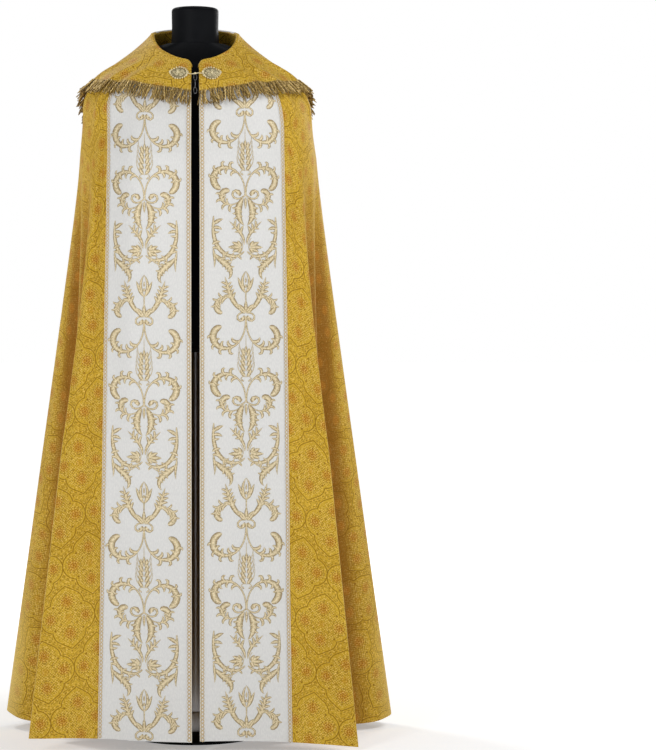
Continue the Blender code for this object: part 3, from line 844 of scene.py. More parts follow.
def braid_gold():
    """Pale gold thread of the narrow braids."""
    made = Finish("braid_gold", Metallic=0.3, Specular_IOR_Level=0.5, Sheen_Weight=0.1)
    speck = made.grain(700.0)
    colour = made.coats(
        (0.50, 0.320, 0.100),
        (made.tone().ease(0.0, 1.0), (0.92, 0.84, 0.64)),
        (speck.ease(0.45, 0.75) * 0.35, (0.90, 0.78, 0.50)))
    return made.done(colour, speck * 0.2 + 0.34, speck, 0.0002)


def bullion():
    """Twisted cords of the fringe, with tones along them from dark bronze to pale gold."""
    made = Finish("bullion_cord", Metallic=0.35, Specular_IOR_Level=0.5, Sheen_Weight=0.1)
    speck, tone = made.grain(900.0), made.tone()
    colour = made.coats(
        (0.125, 0.068, 0.012),
        (tone.ease(0.0, 0.5), (0.39, 0.250, 0.056)),
        (tone.ease(0.5, 1.0), (0.88, 0.66, 0.27)),
        (speck.ease(0.45, 0.75) * 0.35, (0.66, 0.48, 0.18)))
    return made.done(colour, speck * 0.25 + 0.34, speck, 0.0002)


def silver_gilt(name, dark, light, metallic, rough):
    """Cast metal with dark hollows and worn, lighter tops."""
    made = Finish(name, Specular_IOR_Level=0.5)
    speck = made.grain(420.0, 3.0)
    geometry = made.tree.nodes.new("ShaderNodeNewGeometry")
    worn = Field(made.tree, geometry.outputs["Pointiness"]).ease(0.46, 0.56)
    made.feed("Metallic", worn * 0.2 + metallic)
    return made.done(made.coats(dark, (worn * 0.6 + speck * 0.4, light)), speck * 0.2 + rough,
                     speck, 0.00015)


def black_shell(name, rough, grain):
    """Satin black of the dress form: a faint stipple and soft handling marks."""
    made = Finish(name, Specular_IOR_Level=0.07)
    marks = made.grain(14.0, 3.0)
    colour = made.coats((0.0030, 0.0034, 0.0044), (marks.ease(0.3, 0.8), (0.0070, 0.0076, 0.0092)))
    return made.done(colour, marks * 0.16 + rough, made.grain(grain), 0.00012)


def satin_steel():
    """Brushed tube: fine scratches that run round it."""
    made = Finish("satin_steel", Metallic=1.0)
    drawn_out = stretched(made.tree, made.place(), (1.0, 1.0, 60.0))
    scratch = noise_field(made.tree, drawn_out, 30.0, 3.0)
    colour = made.coats((0.40, 0.41, 0.43), (scratch, (0.60, 0.61, 0.63)))
    return made.done(colour, scratch * 0.2 + 0.24, scratch, 0.00004)


BROCADE = gold_brocade()
SATIN = white_satin()
FIGURE = woven_gold()
BRAID = braid_gold()
BULLION = bullion()
GILT = silver_gilt("gilt_rim", (0.42, 0.33, 0.15), (0.90, 0.80, 0.52), 0.35, 0.32)
SILVER = silver_gilt("aged_silver", (0.25, 0.20, 0.10), (0.66, 0.58, 0.36), 0.45, 0.36)
CHAIN = silver_gilt("dark_chain", (0.035, 0.036, 0.040), (0.52, 0.53, 0.55), 0.7, 0.30)
SHELL = black_shell("black_shell", 0.42, 1400.0)
BASE_COAT = black_shell("black_powder_coat", 0.50, 2200.0)
STEEL = satin_steel()


# ---------------------------------------------------------------- the cope

# steps in each fold interval when a ring's length is measured
FINE_STEPS = 40


def cut_place(width, turn, points):
    """Where each point lies on the flat cut, laid out from one fold line of its width, in metres.

    Between two fold lines the cloth opens out as a flat strip: from one to the next the hem
    point moves by the strip's hem length, square to the strip's middle, and the direction turns
    by (hem length - top length) / length. A point goes in from the hem by the cloth up from it.
    """
    up_from_hem = length_along(points[::-1], 0)[::-1]
    line = np.arange(LAST + 1)
    fine = np.linspace(0, LAST, LAST * FINE_STEPS + 1)
    top, hem = (length_along(cloth(fine, row), 0)[::FINE_STEPS] for row in (1.0, 3.0))
    length = np.linalg.norm(np.diff(NET[1:], axis=0), axis=-1).sum(axis=0)
    turning = np.diff(hem - top) / (length[1:] + length[:-1]) * 2
    angle = np.concatenate([[0], np.cumsum(turning)])
    angle += math.radians(width.grain) - angle[width.from_line]
    middle = (angle[1:] + angle[:-1]) / 2
    step = np.stack([-np.sin(middle), np.cos(middle)], axis=-1) * np.diff(hem)[:, None]
    rim = np.concatenate([[[0, 0]], np.cumsum(step, axis=0)])
    start = angle[width.from_line]
    rim += CUT_RADIUS * np.array([math.cos(start), math.sin(start)]) - rim[width.from_line]
    u = np.interp(turn, line, rim[:, 0]) - up_from_hem * np.cos(np.interp(turn, line, angle))
    v = np.interp(turn, line, rim[:, 1]) - up_from_hem * np.sin(np.interp(turn, line, angle))
    return np.stack([u, v], axis=-1)


# the deep tucks, and how far, in turns, the painted shade in each spreads to the left and to the
# right
# of it: just short of a sharp fold, and past a round one
Tuck = namedtuple("Tuck", "name left right")
TUCKS = (
    Tuck("front_tuck_left", 0.95, 1.30), Tuck("inner_tuck_left", 0.95, 1.40),
    Tuck("back_tuck_left", 1.35, 0.95), Tuck("back_tuck_right", 0.95, 1.35),
    Tuck("inner_tuck_right", 1.45, 0.95), Tuck("front_tuck_right", 1.45, 0.95),
)
# the turns over which a tuck's painted shade fades, and the rows over which it comes in below the
# chest
TUCK_EASE = 0.80
TUCK_ROWS = (1.9, 2.3)
# painted light and shade along the folds: how much lighter the cloth is painted there as a
# highlight (plus) or more rust-brown as shade (minus), the half width of that line in turns, and
# the rows over which it grows
Edge = namedtuple("Edge", "name change width top bottom")
PAINTED_FOLD_EDGES = (
    Edge("front_fold_left", 0.45, 0.024, 2.0, 2.6), Edge("front_fold_right", 0.30, 0.024, 2.0, 2.6),
    Edge("back_fold_left", -0.15, 0.10, 2.0, 2.6), Edge("back_fold_right", -0.20, 0.14, 2.0, 2.6),
    Edge("side_fold_left", 0.38, 0.80, 2.55, 3.0), Edge("side_fold_right", 0.26, 0.70, 2.6, 3.0),
    Edge("centre_back", -0.09, 0.08, 2.0, 2.6),
)


def painted_fold_light(turn, row):
    """0.5 on open cloth, down to 0 for painted shade in a tuck and up to 0.95 for a painted
    highlight along a fold.

    In a tuck it falls as the turns away shrink from the tuck's reach, eased in below the chest;
    an edge is a bell exp(-(turns away / width)^2) across, eased in between its two rows.
    """
    tone = np.full(turn.shape, 0.5)
    # painted shade in each tuck
    for tuck in TUCKS:
        away = turn - LINE[tuck.name]
        reach = np.where(away < 0, tuck.left, tuck.right)
        tone = np.minimum(tone, 0.5 * eased(np.abs(away), reach - TUCK_EASE, reach))
    tone = 0.5 - (0.5 - tone) * eased(row, *TUCK_ROWS)
    # painted highlights along some folds and the side flutes, painted rust-brown shade along others
    for edge in PAINTED_FOLD_EDGES:
        away = (turn - LINE[edge.name]) / edge.width
        tone = tone + edge.change * np.exp(-away ** 2) * eased(row, edge.top, edge.bottom)
    return np.clip(tone, 0.0, 1.0)


# the cope's columns in a fold interval, and its rows, closest from the chest to the hem
COPE_COLUMNS = 10
COPE_ROWS = np.concatenate([np.linspace(0, 1, 19)[:-1], np.linspace(1, 2, 20)[:-1],
                            np.linspace(2, 3, 62)])


def make_cope():
    """The half circle itself, from the neckline to the hem, with the pattern on each width."""
    turns = columns(0, LAST, COPE_COLUMNS)
    turn, row = np.meshgrid(turns, COPE_ROWS)
    walls = both_faces(cornered(turn, row), row, 0.0, CLOTH)
    cuts = np.array([cut_place(width, turn, walls[0]).reshape(-1, 2) for width in WIDTHS])
    borders = [width.first for width in WIDTHS[1:]]
    of_column = np.searchsorted(borders, (turns[1:] + turns[:-1]) / 2)

    def corner_places(faces):
        """Each face takes its corners' places from the width in which it lies."""
        point = faces % turn.size
        column = np.minimum(point.min(axis=1) % len(turns), len(turns) - 2)
        return cuts[of_column[column][:, None], point].reshape(-1, 2)

    # the cope's tones carry painted shade in the tucks and painted light and shade along the folds
    return wall_piece("cope_cloth", walls, BROCADE, "gold_brocade", "cope_body", corner_places,
                      painted_fold_light(turn, row))


# ---------------------------------------------------------------- strips and what is woven on them

class Strip:
    """A band of the cloth with flat coordinates: across from a fold line and down from its top.

    Lengths are measured along the grid of the cloth's own points, so that a flat drawing keeps
    its true size when it is laid on the strip.
    """

    def __init__(self, low, high, origin, top, bottom):
        self.turns = np.linspace(low, high, 61)
        self.rows = np.linspace(top, bottom, 241)
        points = draped(*np.meshgrid(self.turns, self.rows), 0.0)
        across = length_along(points, 1)
        zero = np.argmin(np.abs(self.turns - origin))
        self.across = across - across[:, zero:zero + 1]
        self.down = length_along(points[:, zero], 0)
        self.heights = points[:, zero, 2]

    def down_at_height(self, z):
        """How far down the strip a height lies."""
        return float(np.interp(-z, -self.heights, self.down))

    def place(self, x, y):
        """Turn and row of flat points, by walking the two rows of lengths beside each."""
        row = np.interp(y, self.down, self.rows)
        level = (row - self.rows[0]) / (self.rows[1] - self.rows[0])
        level = np.clip(level, 0, len(self.rows) - 1.001)
        above = level.astype(int)
        share = (level - above)[:, None]
        lengths = self.across[above] * (1 - share) + self.across[above + 1] * share
        after = np.clip((lengths < x[:, None]).sum(axis=1), 1, lengths.shape[1] - 1)
        pick = np.arange(len(x))
        low, high = lengths[pick, after - 1], lengths[pick, after]
        part = np.clip((x - low) / np.maximum(high - low, 1e-9), 0, 1)
        turn = self.turns[after - 1] + part * (self.turns[1] - self.turns[0])
        return turn, row

    def lay(self, x, y, lift):
        """A grid of points of a flat drawing laid on the strip at a lift."""
        x, y, lift = np.broadcast_arrays(x, y, lift)
        turn, row = self.place(x.ravel(), y.ravel())
        return draped(turn, row, lift.ravel()).reshape(x.shape + (3,))


# Figures of the orphrey, drawn as strokes of a brush on one repeat, in millimetres: x across from
# the middle and y down from the foot of the ear. heading is the way the stroke starts, in degrees
# (0 across, 90 down), and early and late how fast it bends at its start and end, in degrees over
# its whole length. width is the brush's, shape says how it swells along the stroke, and a mirrored
# stroke is drawn on both sides. lobes are small leaves along it: their side, places, size and curl.
Stroke = namedtuple("Stroke", "name x y heading length early late width shape mirrored lobes",
                    defaults=(True, ()))
Lobes = namedtuple("Lobes", "side starts size curl")
REPEAT = 420.5
FIGURES = (
    Stroke("arch", 0.8, 53, -92, 146, 62, 462, 14.5, "scroll", True,
           (Lobes(-1, (.47, .57, .67, .77), 15, 190), Lobes(1, (.38, .50, .62, .74), 14, 130))),
    Stroke("volute", 1.5, 51, 44, 56, -60, -640, 7.4, "ball"),
    Stroke("side_branch", 7, 60, 38, 80, -40, -470, 12.5, "scroll", True,
           (Lobes(1, (.30, .44, .58, .70), 14, 120), Lobes(-1, (.38, .52, .64), 12, 110))),
    Stroke("hanging_leaf", 4, 57, 48, 62, 80, 100, 14.0, "leaf", True,
           (Lobes(-1, (.30, .45, .60), 12, 70), Lobes(1, (.38, .56), 9, 60))),
    Stroke("bud", 0, 55, 90, 24, 0, 0, 5.5, "leaf", False),
    Stroke("bracket", 66, 94, 86, 128, 0, 290, 9.0, "spindle", True,
           (Lobes(-1, (.62, .74, .86), 11, 60), Lobes(1, (.64, .76), 9, 60))),
    Stroke("bracket_tuft", 67, 112, -128, 25, -50, -30, 8, "leaf"),
    Stroke("bracket_tuft", 68, 118, -160, 21, -60, -60, 7, "leaf"),
    Stroke("bracket_tuft", 69, 125, 150, 16, 60, 60, 5.5, "leaf"),
    Stroke("bracket_spur", 69, 152, -132, 19, -60, -60, 7, "leaf"),
    Stroke("bracket_spur", 69, 158, -165, 16, -70, -70, 6, "leaf"),
    Stroke("bracket_foot", 67, 158, 96, 42, 20, -60, 5.5, "leaf"),
    Stroke("bracket_leaf", 64, 170, 118, 68, 160, -330, 13, "leaf", True,
           (Lobes(1, (.22, .34, .46, .58), 12, 60), Lobes(-1, (.35, .48, .60), 10, 70))),
    Stroke("vine_stem", 38, 186, 192, 66, 60, 180, 2.8, "stem"),
    Stroke("frond", 3, 152, -96, 60, 130, -30, 6.4, "leaf", True,
           (Lobes(-1, (.40, .55, .70), 13, 50), Lobes(1, (.45, .62), 9, 50))),
    Stroke("vine_leaf", 10, 157, -78, 15, 30, 30, 8, "leaf"),
    Stroke("vine_leaf", 10, 157, -40, 21, 20, 20, 9, "leaf"),
    Stroke("vine_leaf", 10, 157, 0, 26, 0, 0, 9, "leaf"),
    Stroke("vine_leaf", 10, 157, 38, 20, -20, -20, 9, "leaf"),
    Stroke("vine_leaf", 10, 157, 78, 14, -30, -30, 8, "leaf"),
    Stroke("lily_outer", 0.5, 250, -50, 36, -50, 20, 7.5, "leaf"),
    Stroke("lily_inner", 0.5, 248, -56, 46, -66, -82, 5.6, "leaf"),
    Stroke("lily_stem", 0, 247, 90, 38, 0, 0, 3.0, "stem", False),
    Stroke("lily_seed", 0, 240, -90, 8, 0, 0, 5.4, "leaf", False),
    Stroke("lily_seed", 0, 230, -90, 12, 0, 0, 3.6, "leaf", False),
    Stroke("crown", 0, 290, -90, 26, 0, 0, 7.5, "leaf", False),
    Stroke("crown", 1, 291, -68, 25, 40, 40, 7, "leaf"),
    Stroke("crown", 2, 292, -38, 25, -20, -60, 7, "leaf"),
    Stroke("crown_lobe", 1, 291, -12, 44, 90, 560, 7.0, "ball"),
    Stroke("plume_up", 4, 288, -28, 84, -110, 20, 10, "leaf", True,
           (Lobes(-1, (.40, .51, .62, .73), 13, 50), Lobes(1, (.45, .56, .67, .78), 14, 50))),
    Stroke("plume_out", 20, 271, -54, 78, 120, 350, 11, "scroll", True,
           (Lobes(1, (.30, .42, .54, .66), 14, 80), Lobes(-1, (.40, .55, .68), 11, 80))),
    Stroke("wing", 0.8, 298, 92, 156, -40, -500, 14.5, "scroll", True,
           (Lobes(-1, (.34, .46, .58, .70), 16, 130), Lobes(1, (.49, .59, .69, .79), 15, 180))),
    Stroke("ear_tip", 0, 372, -90, 15, 0, 0, 6, "leaf", False),
    Stroke("ear_awn_tip", 0, 358, -90, 22, 0, 0, 1.5, "stem", False),
    Stroke("cup", 0.5, 421, -20, 20, 60, 420, 3.2, "ball"),
) + tuple(
    Stroke("kernel", 1.4, 420 - 10.3 * rank, -36 - 4 * rank, 18.0, -45, -45, 7.8, "leaf")
    for rank in range(5)
) + tuple(
    Stroke("awn", 12.0 - 0.9 * rank, 412 - 10.3 * rank, -58, 22, -40, -30, 1.9, "stem")
    for rank in range(5)
)


def stroke_width(shape, s):
    """The brush's width along a stroke, as a share of its widest: s runs from 0 to 1."""
    if shape == "leaf":
        return np.sin(np.pi * s ** 0.8) ** 0.8
    if shape == "lobe":
        return np.sqrt(np.clip(1 - s ** 2.2, 0.0, 1)) * (0.80 + 0.35 * np.sin(np.pi * s ** 1.5))
    if shape == "spindle":
        return 0.25 + 0.75 * np.sin(np.pi * s) ** 0.9
    if shape == "stem":
        return 1.0 - 0.55 * s
    if shape == "ball":
        return 0.35 + 0.5 * s + 1.0 * np.exp(-((s - 0.93) / 0.07) ** 2)
    body = 0.20 + 0.80 * np.exp(-((s - 0.83) / 0.29) ** 2)
    return body * np.sqrt(np.clip(1 - (np.clip(s - 0.92, 0, 1) / 0.08) ** 2, 0.0, 1))


# steps in which a stroke's bend is added up
SPINE_STEPS = 160


def stroke_spine(stroke, steps):
    """The middle of a stroke: its heading is heading + early s + (late - early) s^2 / 2."""
    fine = np.linspace(0, 1, SPINE_STEPS + 1)
    bend = stroke.early * fine + (stroke.late - stroke.early) * fine ** 2 / 2
    turn = np.radians(stroke.heading + bend)
    middle = (turn[1:] + turn[:-1]) / 2
    step = stroke.length / SPINE_STEPS
    x = stroke.x + np.concatenate([[0], np.cumsum(np.cos(middle))]) * step
    y = stroke.y + np.concatenate([[0], np.cumsum(np.sin(middle))]) * step
    s = (1 - np.cos(np.pi * np.linspace(0, 1, steps))) / 2
    return np.interp(s, fine, x), np.interp(s, fine, y), np.interp(s, fine, turn), s


# a lobe: how far it leans off its stroke, in degrees, how much smaller each is than the one
# before, its length and width for its size, and the shares of its curl at its start and end
LOBE_LEAN = 34
LOBE_SHRINK = 0.06
LOBE_LENGTH, LOBE_WIDTH = 1.30, 0.46
LOBE_EARLY, LOBE_LATE = 0.3, 1.7


def with_lobes(chart):
    """The strokes and, along each, the small leaves that its lobes call for."""
    strokes = []
    for stroke in chart:
        strokes.append(stroke)
        x, y, turn, s = stroke_spine(stroke, 101)
        for lobes in stroke.lobes:
            bend = lobes.side * lobes.curl
            for rank, start in enumerate(lobes.starts):
                at = int(np.argmin(np.abs(s - start)))
                size = lobes.size * (1 - LOBE_SHRINK * rank)
                heading = math.degrees(turn[at]) + lobes.side * LOBE_LEAN
                strokes.append(Stroke(
                    stroke.name + "_lobe", x[at], y[at], heading, size * LOBE_LENGTH,
                    bend * LOBE_EARLY, bend * LOBE_LATE, size * LOBE_WIDTH, "lobe",
                    stroke.mirrored, ()))
    return strokes


# how much broader the leaves and scrolls are drawn than their table says
BOLDER = 1.04


def figure_shapes():
    """Every stroke of one repeat as a band of three lines: edge, middle and edge."""
    shapes = []
    for rank, stroke in enumerate(with_lobes(FIGURES)):
        steps = int(np.clip(6 + stroke.length / 7, 8, 28))
        x, y, turn, s = stroke_spine(stroke, steps)
        bold = 1.0 if stroke.shape in ("stem", "ball") else BOLDER
        half = stroke_width(stroke.shape, s) * stroke.width * bold / 2
        aside = np.stack([-np.sin(turn) * half, np.cos(turn) * half], axis=-1)
        middle = np.stack([x, y], axis=-1)
        band = np.stack([middle + aside, middle, middle - aside], axis=1)
        shapes.append((band, half, rank))
        if stroke.mirrored:
            shapes.append(((band * np.array([-1, 1.0]))[:, ::-1], half, rank))
    return shapes


FIGURE_SHAPES = figure_shapes()
# a figure's band: how much higher each rank lies so that no two share a face, how far its middle
# rises on a fine and on a broad stroke, its thickness below, and the tones of its edge and middle,
# the middle's paler tone a painted highlight along the band
RANK_STEP = 0.00004
RISE_FINE, RISE_BROAD = 0.00012, 0.00010
BAND_BELOW = 0.0002
EDGE_TONE, MIDDLE_PAINTED_HIGHLIGHT = 0.46, 1.0


def make_figures(name, strip, middle, foot_height, repeats, lift, keep):
    """Woven figures laid on a strip, one set for each repeat of the numbers given.

    Each band is a thin closed strip: both edges on the satin, the middle a little raised, and a
    flat underside. keep tells which flat points lie on the strip; a band ends where it leaves it.
    """
    shapes, tones, flats = [], [], []
    for number in repeats:
        start = strip.down_at_height(foot_height) + number * REPEAT / 1000
        for band, half, rank in FIGURE_SHAPES:
            flat = band / 1000 + np.array([middle, start])
            inside = keep(flat[:, 1, 0], flat[:, 1, 1])
            first, last = (np.flatnonzero(inside)[[0, -1]] if inside.any() else (0, -1))
            flat, half = flat[first:last + 1], half[first:last + 1]
            steps = len(flat)
            if steps < 4:
                continue
            low = np.full(steps, lift + RANK_STEP * (rank % 5))
            rise = RISE_FINE + RISE_BROAD * np.clip(half / 3.0, 0, 1)
            rings = np.concatenate([flat, flat[:, 1:2]], axis=1)
            lifts = np.stack([low, low + rise, low, low - BAND_BELOW], axis=1)
            points = strip.lay(rings[..., 0], rings[..., 1], lifts).reshape(-1, 3)
            shapes.append((points, [grid_quads(steps, 4, wrap=True), end_caps(steps, 4)[:, ::-1]]))
            # pale middle between tan edges: a painted highlight along the band
            tones.append(np.tile([EDGE_TONE, MIDDLE_PAINTED_HIGHLIGHT, EDGE_TONE, EDGE_TONE], steps))
            flats.append(rings.reshape(-1, 2))
    return mesh_piece(name, *joined(shapes), FIGURE, "white_satin", uv=np.concatenate(flats),
                      shade=np.concatenate(tones))


# a braid: the pitch of the rings and beads in its chain and of the stitches in its cord, how much
# of a pitch and of the tape's width a ring takes, how much lower the tape's outer face lies at its
# edges than at its middle, and the radii of the ring's wire, the bead and the stitch
RING_PITCH = 0.0074
STITCH_PITCH = 0.0026
RING_LONG, RING_WIDE = 0.86, 0.60
TAPE_CROWN = 0.0003
RING_WIRE, BEAD_RADIUS, STITCH_RADIUS = 0.00095, 0.0012, 0.00085
STITCH_STRETCH = (1.25, 1.35, 1.0)


def chain_piece(name, shapes, tones):
    """A braid's rings, beads and cord as one piece, each with a tone of its own."""
    shade = np.concatenate([np.full(len(shape[0]), tone) for shape, tone in zip(shapes, tones)])
    return mesh_piece(name + "_chain", *joined(shapes), BRAID, "gold_braid", shade=shade,
                      seam_angle=0)


def make_braid(name, strip, near, far, cord, node):
    """A narrow braid: a pale tape, a chain of small gold rings and a raised cord at one edge.

    near, far and cord give the places across of its edges and its cord for a place down.
    """
    length = strip.down[-1]
    y = np.linspace(0.0, length, 300)
    share = np.linspace(0, 1, 7)
    gx = near(y)[:, None] * (1 - share) + far(y)[:, None] * share
    gx = gx[:, ::-1] if gx[0, 0] > gx[0, -1] else gx
    gy = np.repeat(y[:, None], 7, axis=1)
    crown = TAPE_CROWN * np.cos(np.linspace(-1, 1, 7) * math.pi / 2) - TAPE_CROWN
    walls = (strip.lay(gx, gy, GALLOON_LIFT + TRIM / 2 + crown),
             strip.lay(gx, gy, GALLOON_LIFT - TRIM / 2))
    tape = wall_piece(name, walls, SATIN, "gold_braid", node, np.stack([gx, gy], axis=-1))

    def sewn(shape, across, down):
        return scattered(shape, *frames_at(*strip.place(across(down), down),
                                           GALLOON_LIFT + CHAIN_LIFT))

    def middle(down):
        return (near(down) + far(down)) / 2

    wide = float(np.abs(far(y) - near(y)).mean())
    spots = np.arange(RING_PITCH / 2, length - RING_PITCH / 2, RING_PITCH)
    ring = oval_ring(wide * RING_WIDE, RING_PITCH * RING_LONG, RING_WIRE, 12, 5)
    stitches = np.arange(0.001, length - 0.001, STITCH_PITCH)
    return tape, chain_piece(name, (
        sewn(ring, middle, spots),
        sewn(bead_shape(BEAD_RADIUS, 3, 6), middle, spots + RING_PITCH / 2),
        sewn(bead_shape(STITCH_RADIUS, 3, 5, STITCH_STRETCH), cord, stitches)), (0.25, 0.45, 1.0))


# the orphreys: the fold lines between which each lies, the line and the column of its strip that
# mark its front edge and its seam, which way it goes across, and the middle of its figures and the
# height of an ear's foot. Then the row at which both start, the satin's even width, and how far it
# may reach past the seam line to keep that.
Orphrey = namedtuple("Orphrey", "side low high front seam way middle foot")
ORPHREYS = (
    Orphrey("left", 0.0, 2.4, 0.0, 50, 1, 0.0965, 1.172),
    Orphrey("right", LAST - 2.4, LAST, LAST, 10, -1, 0.0945, 1.181),
)
ORPHREY_TOP = 0.70
SATIN_WIDTH = 0.184
SATIN_PAST = 0.012
# its braids: whether each is measured in from the front edge or from the seam, and how far in its
# two edges and its cord lie
EdgeBraid = namedtuple("EdgeBraid", "name at_seam near far cord")
EDGE_BRAIDS = (
    EdgeBraid("inner", False, 0.0004, 0.0104, 0.0012),
    EdgeBraid("outer", True, 0.0086, 0.0002, 0.0010),
)


def make_orphrey(orphrey):
    """A front's satin strip with its figures and both braids.

    It reaches from the front edge to the seam line, or a little past it under the hood, where
    the straight strip is wider than the cloth below it.
    """
    side, way = orphrey.side, orphrey.way
    strip = Strip(orphrey.low, orphrey.high, orphrey.front, ORPHREY_TOP, 3.0)
    seam = np.abs(strip.across[:, orphrey.seam])
    seam = seam + np.clip(SATIN_WIDTH - seam, 0.0, SATIN_PAST)
    length = strip.down[-1]

    def inward(at_seam, distance):
        """The place across for a place down, so far in from the seam or from the front edge."""
        if at_seam:
            return lambda y: (np.interp(y, strip.down, seam) - distance) * way
        return lambda y: np.full(np.shape(y), distance * way)

    y = np.interp(np.linspace(ORPHREY_TOP, 3.0, 150), strip.rows, strip.down)
    gx = inward(True, 0.0)(y)[:, None] * np.linspace(0, 1, 41)[::way]
    gy = np.repeat(y[:, None], 41, axis=1)
    walls = [strip.lay(gx, gy, ORPHREY_LIFT + half) for half in (TRIM / 2, -TRIM / 2)]
    satin = wall_piece(f"orphrey_satin_{side}", walls, SATIN, "white_satin", f"orphrey_{side}",
                       np.stack([gx, gy], axis=-1))
    trim = [make_figures(
        f"orphrey_figures_{side}", strip, orphrey.middle * way, orphrey.foot, (-1, 0, 1, 2),
        ORPHREY_LIFT + FIGURE_LIFT, lambda x, y: (y > 0.004) & (y < length - 0.003))]
    for braid in EDGE_BRAIDS:
        lines = (inward(braid.at_seam, far) for far in (braid.near, braid.far, braid.cord))
        trim += make_braid(f"braid_{braid.name}_{side}", strip, *lines,
                           f"galloon_{braid.name}_{side}")
    return satin, trim


# ---------------------------------------------------------------- the hood and its fringe

# the hood's rows, as shares of the way to its edge; on its cut, the radius of the neck edge and
# how many degrees go to one round the neck; and, on its panel, the height of an ear's foot and the
# row at which the strip of figures ends
HOOD_ROWS = np.linspace(0, 1, 61)
HOOD_NECK = 0.115
HOOD_CONE = 0.78
HOOD_FOOT = 1.372
PANEL_BOTTOM = 2.05
# the panel's braids: the fold lines between which each lies, and the line of its cord; then their
# rings, beads and stitches, finer than the orphreys', as width, length, wire and radii
PanelBraid = namedtuple("PanelBraid", "side low high cord")
PANEL_BRAIDS = (PanelBraid("left", 12.0, 12.105, 12.015), PanelBraid("right", 15.895, 16.0, 15.985))
PANEL_RING = (0.0046, 0.0063, 0.00082)
PANEL_BEAD, PANEL_STITCH = 0.0011, 0.0009


def hood_cut(turn, points):
    """Where the hood lies on its own cut: a flattened cone about the neck.

    A point goes to distance (neck radius + length down) and to the angle round the neck times
    the cone's slope, counted from the centre of the back.
    """
    index = np.arange(LAST + 1)
    degrees = np.interp(turn, index, [-fold.neck * 0.5 - fold.shoulder * 0.5 for fold in FOLDS])
    angle = np.radians(degrees - 180.0) * HOOD_CONE
    reach = HOOD_NECK + length_along(points, 0)
    return np.stack([reach * np.sin(angle), -reach * np.cos(angle)], axis=-1)


def make_hood():
    """The hood: its cloth, the satin panel on its back and the panel's figures."""
    turn, share = np.meshgrid(columns(0, LAST, 12), HOOD_ROWS)
    row = share * hood_edge(turn)
    turn = cornered(turn, row)
    walls = both_faces(turn, row, HOOD_LIFT, CLOTH)
    hood = wall_piece("hood_cloth", walls, BROCADE, "gold_brocade", "hood",
                      hood_cut(turn, walls[0]))
    low, high = float(LINE["panel_seam_left"]), float(LINE["panel_seam_right"])
    turn, share = np.meshgrid(columns(low, high, 20), HOOD_ROWS)
    walls = both_faces(turn, share * hood_edge(turn), PANEL_LIFT, TRIM)
    panel = wall_piece("hood_panel_satin", walls, SATIN, "white_satin", "hood_panel")
    strip = Strip(low, high, LINE["centre_back"], 0.0, PANEL_BOTTOM)

    def on_panel(x, y):
        turn, row = strip.place(x, y)
        return (y > 0.003) & (row < hood_edge(turn) - 0.02)

    figures = make_figures("hood_panel_figures", strip, 0.0, HOOD_FOOT, (-1, 0),
                           PANEL_LIFT + FIGURE_LIFT, on_panel)
    return hood, panel, figures


def make_panel_braid(braid):
    """A narrow braid down one edge of the hood's panel, from the neck to the hood's edge."""
    turn, share = np.meshgrid(np.linspace(braid.low, braid.high, 7), np.linspace(0, 1, 90))
    walls = both_faces(turn, share * hood_edge(turn), PANEL_GALLOON_LIFT, TRIM)
    tape = wall_piece(f"hood_braid_{braid.side}", walls, SATIN, "gold_braid",
                      f"hood_galloon_{braid.side}")
    middle = (braid.low + braid.high) / 2
    rows = np.linspace(0, 1, 400) * hood_edge(middle)
    run = length_along(draped(middle, rows, 0.0), 0)

    def sewn(shape, turn, start, pitch):
        spots = np.interp(np.arange(start, run[-1] - 0.002, pitch), run, rows)
        return scattered(shape, *frames_at(np.full(len(spots), turn), spots,
                                           PANEL_GALLOON_LIFT + CHAIN_LIFT, 0.01, 0.0))

    return tape, chain_piece(f"hood_braid_{braid.side}", (
        sewn(oval_ring(*PANEL_RING, 12, 5), middle, 0.0040, RING_PITCH),
        sewn(bead_shape(PANEL_BEAD, 3, 6), middle, 0.0077, RING_PITCH),
        sewn(bead_shape(PANEL_STITCH, 3, 5), braid.cord, 0.0020, STITCH_PITCH)), (0.45, 0.60, 1.0))


# the sides of a roll, and how far each is from the next on the flat cloth
ROLL_SIDES = 14
ROLL_STEP = 0.0019


def roll_piece(name, turns, rows, lift, radii, finish, slot):
    """A round roll of cloth along a line of the cope: circles of the given radii round it."""
    path = draped(turns, rows, lift)
    around = np.tile(np.arange(ROLL_SIDES) * ROLL_STEP, len(turns))
    uv = np.stack([np.repeat(length_along(path, 0), ROLL_SIDES), around], axis=-1)
    return mesh_piece(name, *tubes(path[None], radii[None], ROLL_SIDES), finish, slot, uv=uv,
                      shade=np.full(len(uv), 0.5))


# the radius of the neck edge's roll at a front corner, how much it gains behind it, and over how
# many turns; and the radius of the panel's roll over it
ROLL_CORNER = 0.0020
ROLL_GAIN = 0.0024
ROLL_EASE = 0.35
PANEL_ROLL = 0.0047


def make_neck_edge():
    """The turned-over neck edge: a soft roll over the cope and the hood, which dies away as it
    turns down each front corner."""
    corner = np.linspace(0, 1, 14)[:-1]
    rows = CORNER_ROWS * (1 - corner) ** 1.5
    left = corner_inset(rows)
    turns = columns(CORNER_TURNS * 0.9, LAST - CORNER_TURNS * 0.9, 12)
    turns = np.concatenate([left, turns, LAST - left[::-1]])
    rows = np.concatenate([rows, np.zeros(len(turns) - 2 * len(rows)), rows[::-1]])
    radii = ROLL_CORNER + ROLL_GAIN * eased(np.minimum(turns, LAST - turns), 0.0, ROLL_EASE)
    over = np.linspace(LINE["panel_seam_left"] + 0.02, LINE["panel_seam_right"] - 0.02, 60)
    return (roll_piece("neck_edge_roll", turns, rows, HOOD_LIFT / 2, radii, BROCADE,
                       "gold_brocade"),
            roll_piece("panel_neck_roll", over, over * 0, (PANEL_LIFT - 0.0002) / 2,
                       np.full(60, PANEL_ROLL), SATIN, "white_satin"))


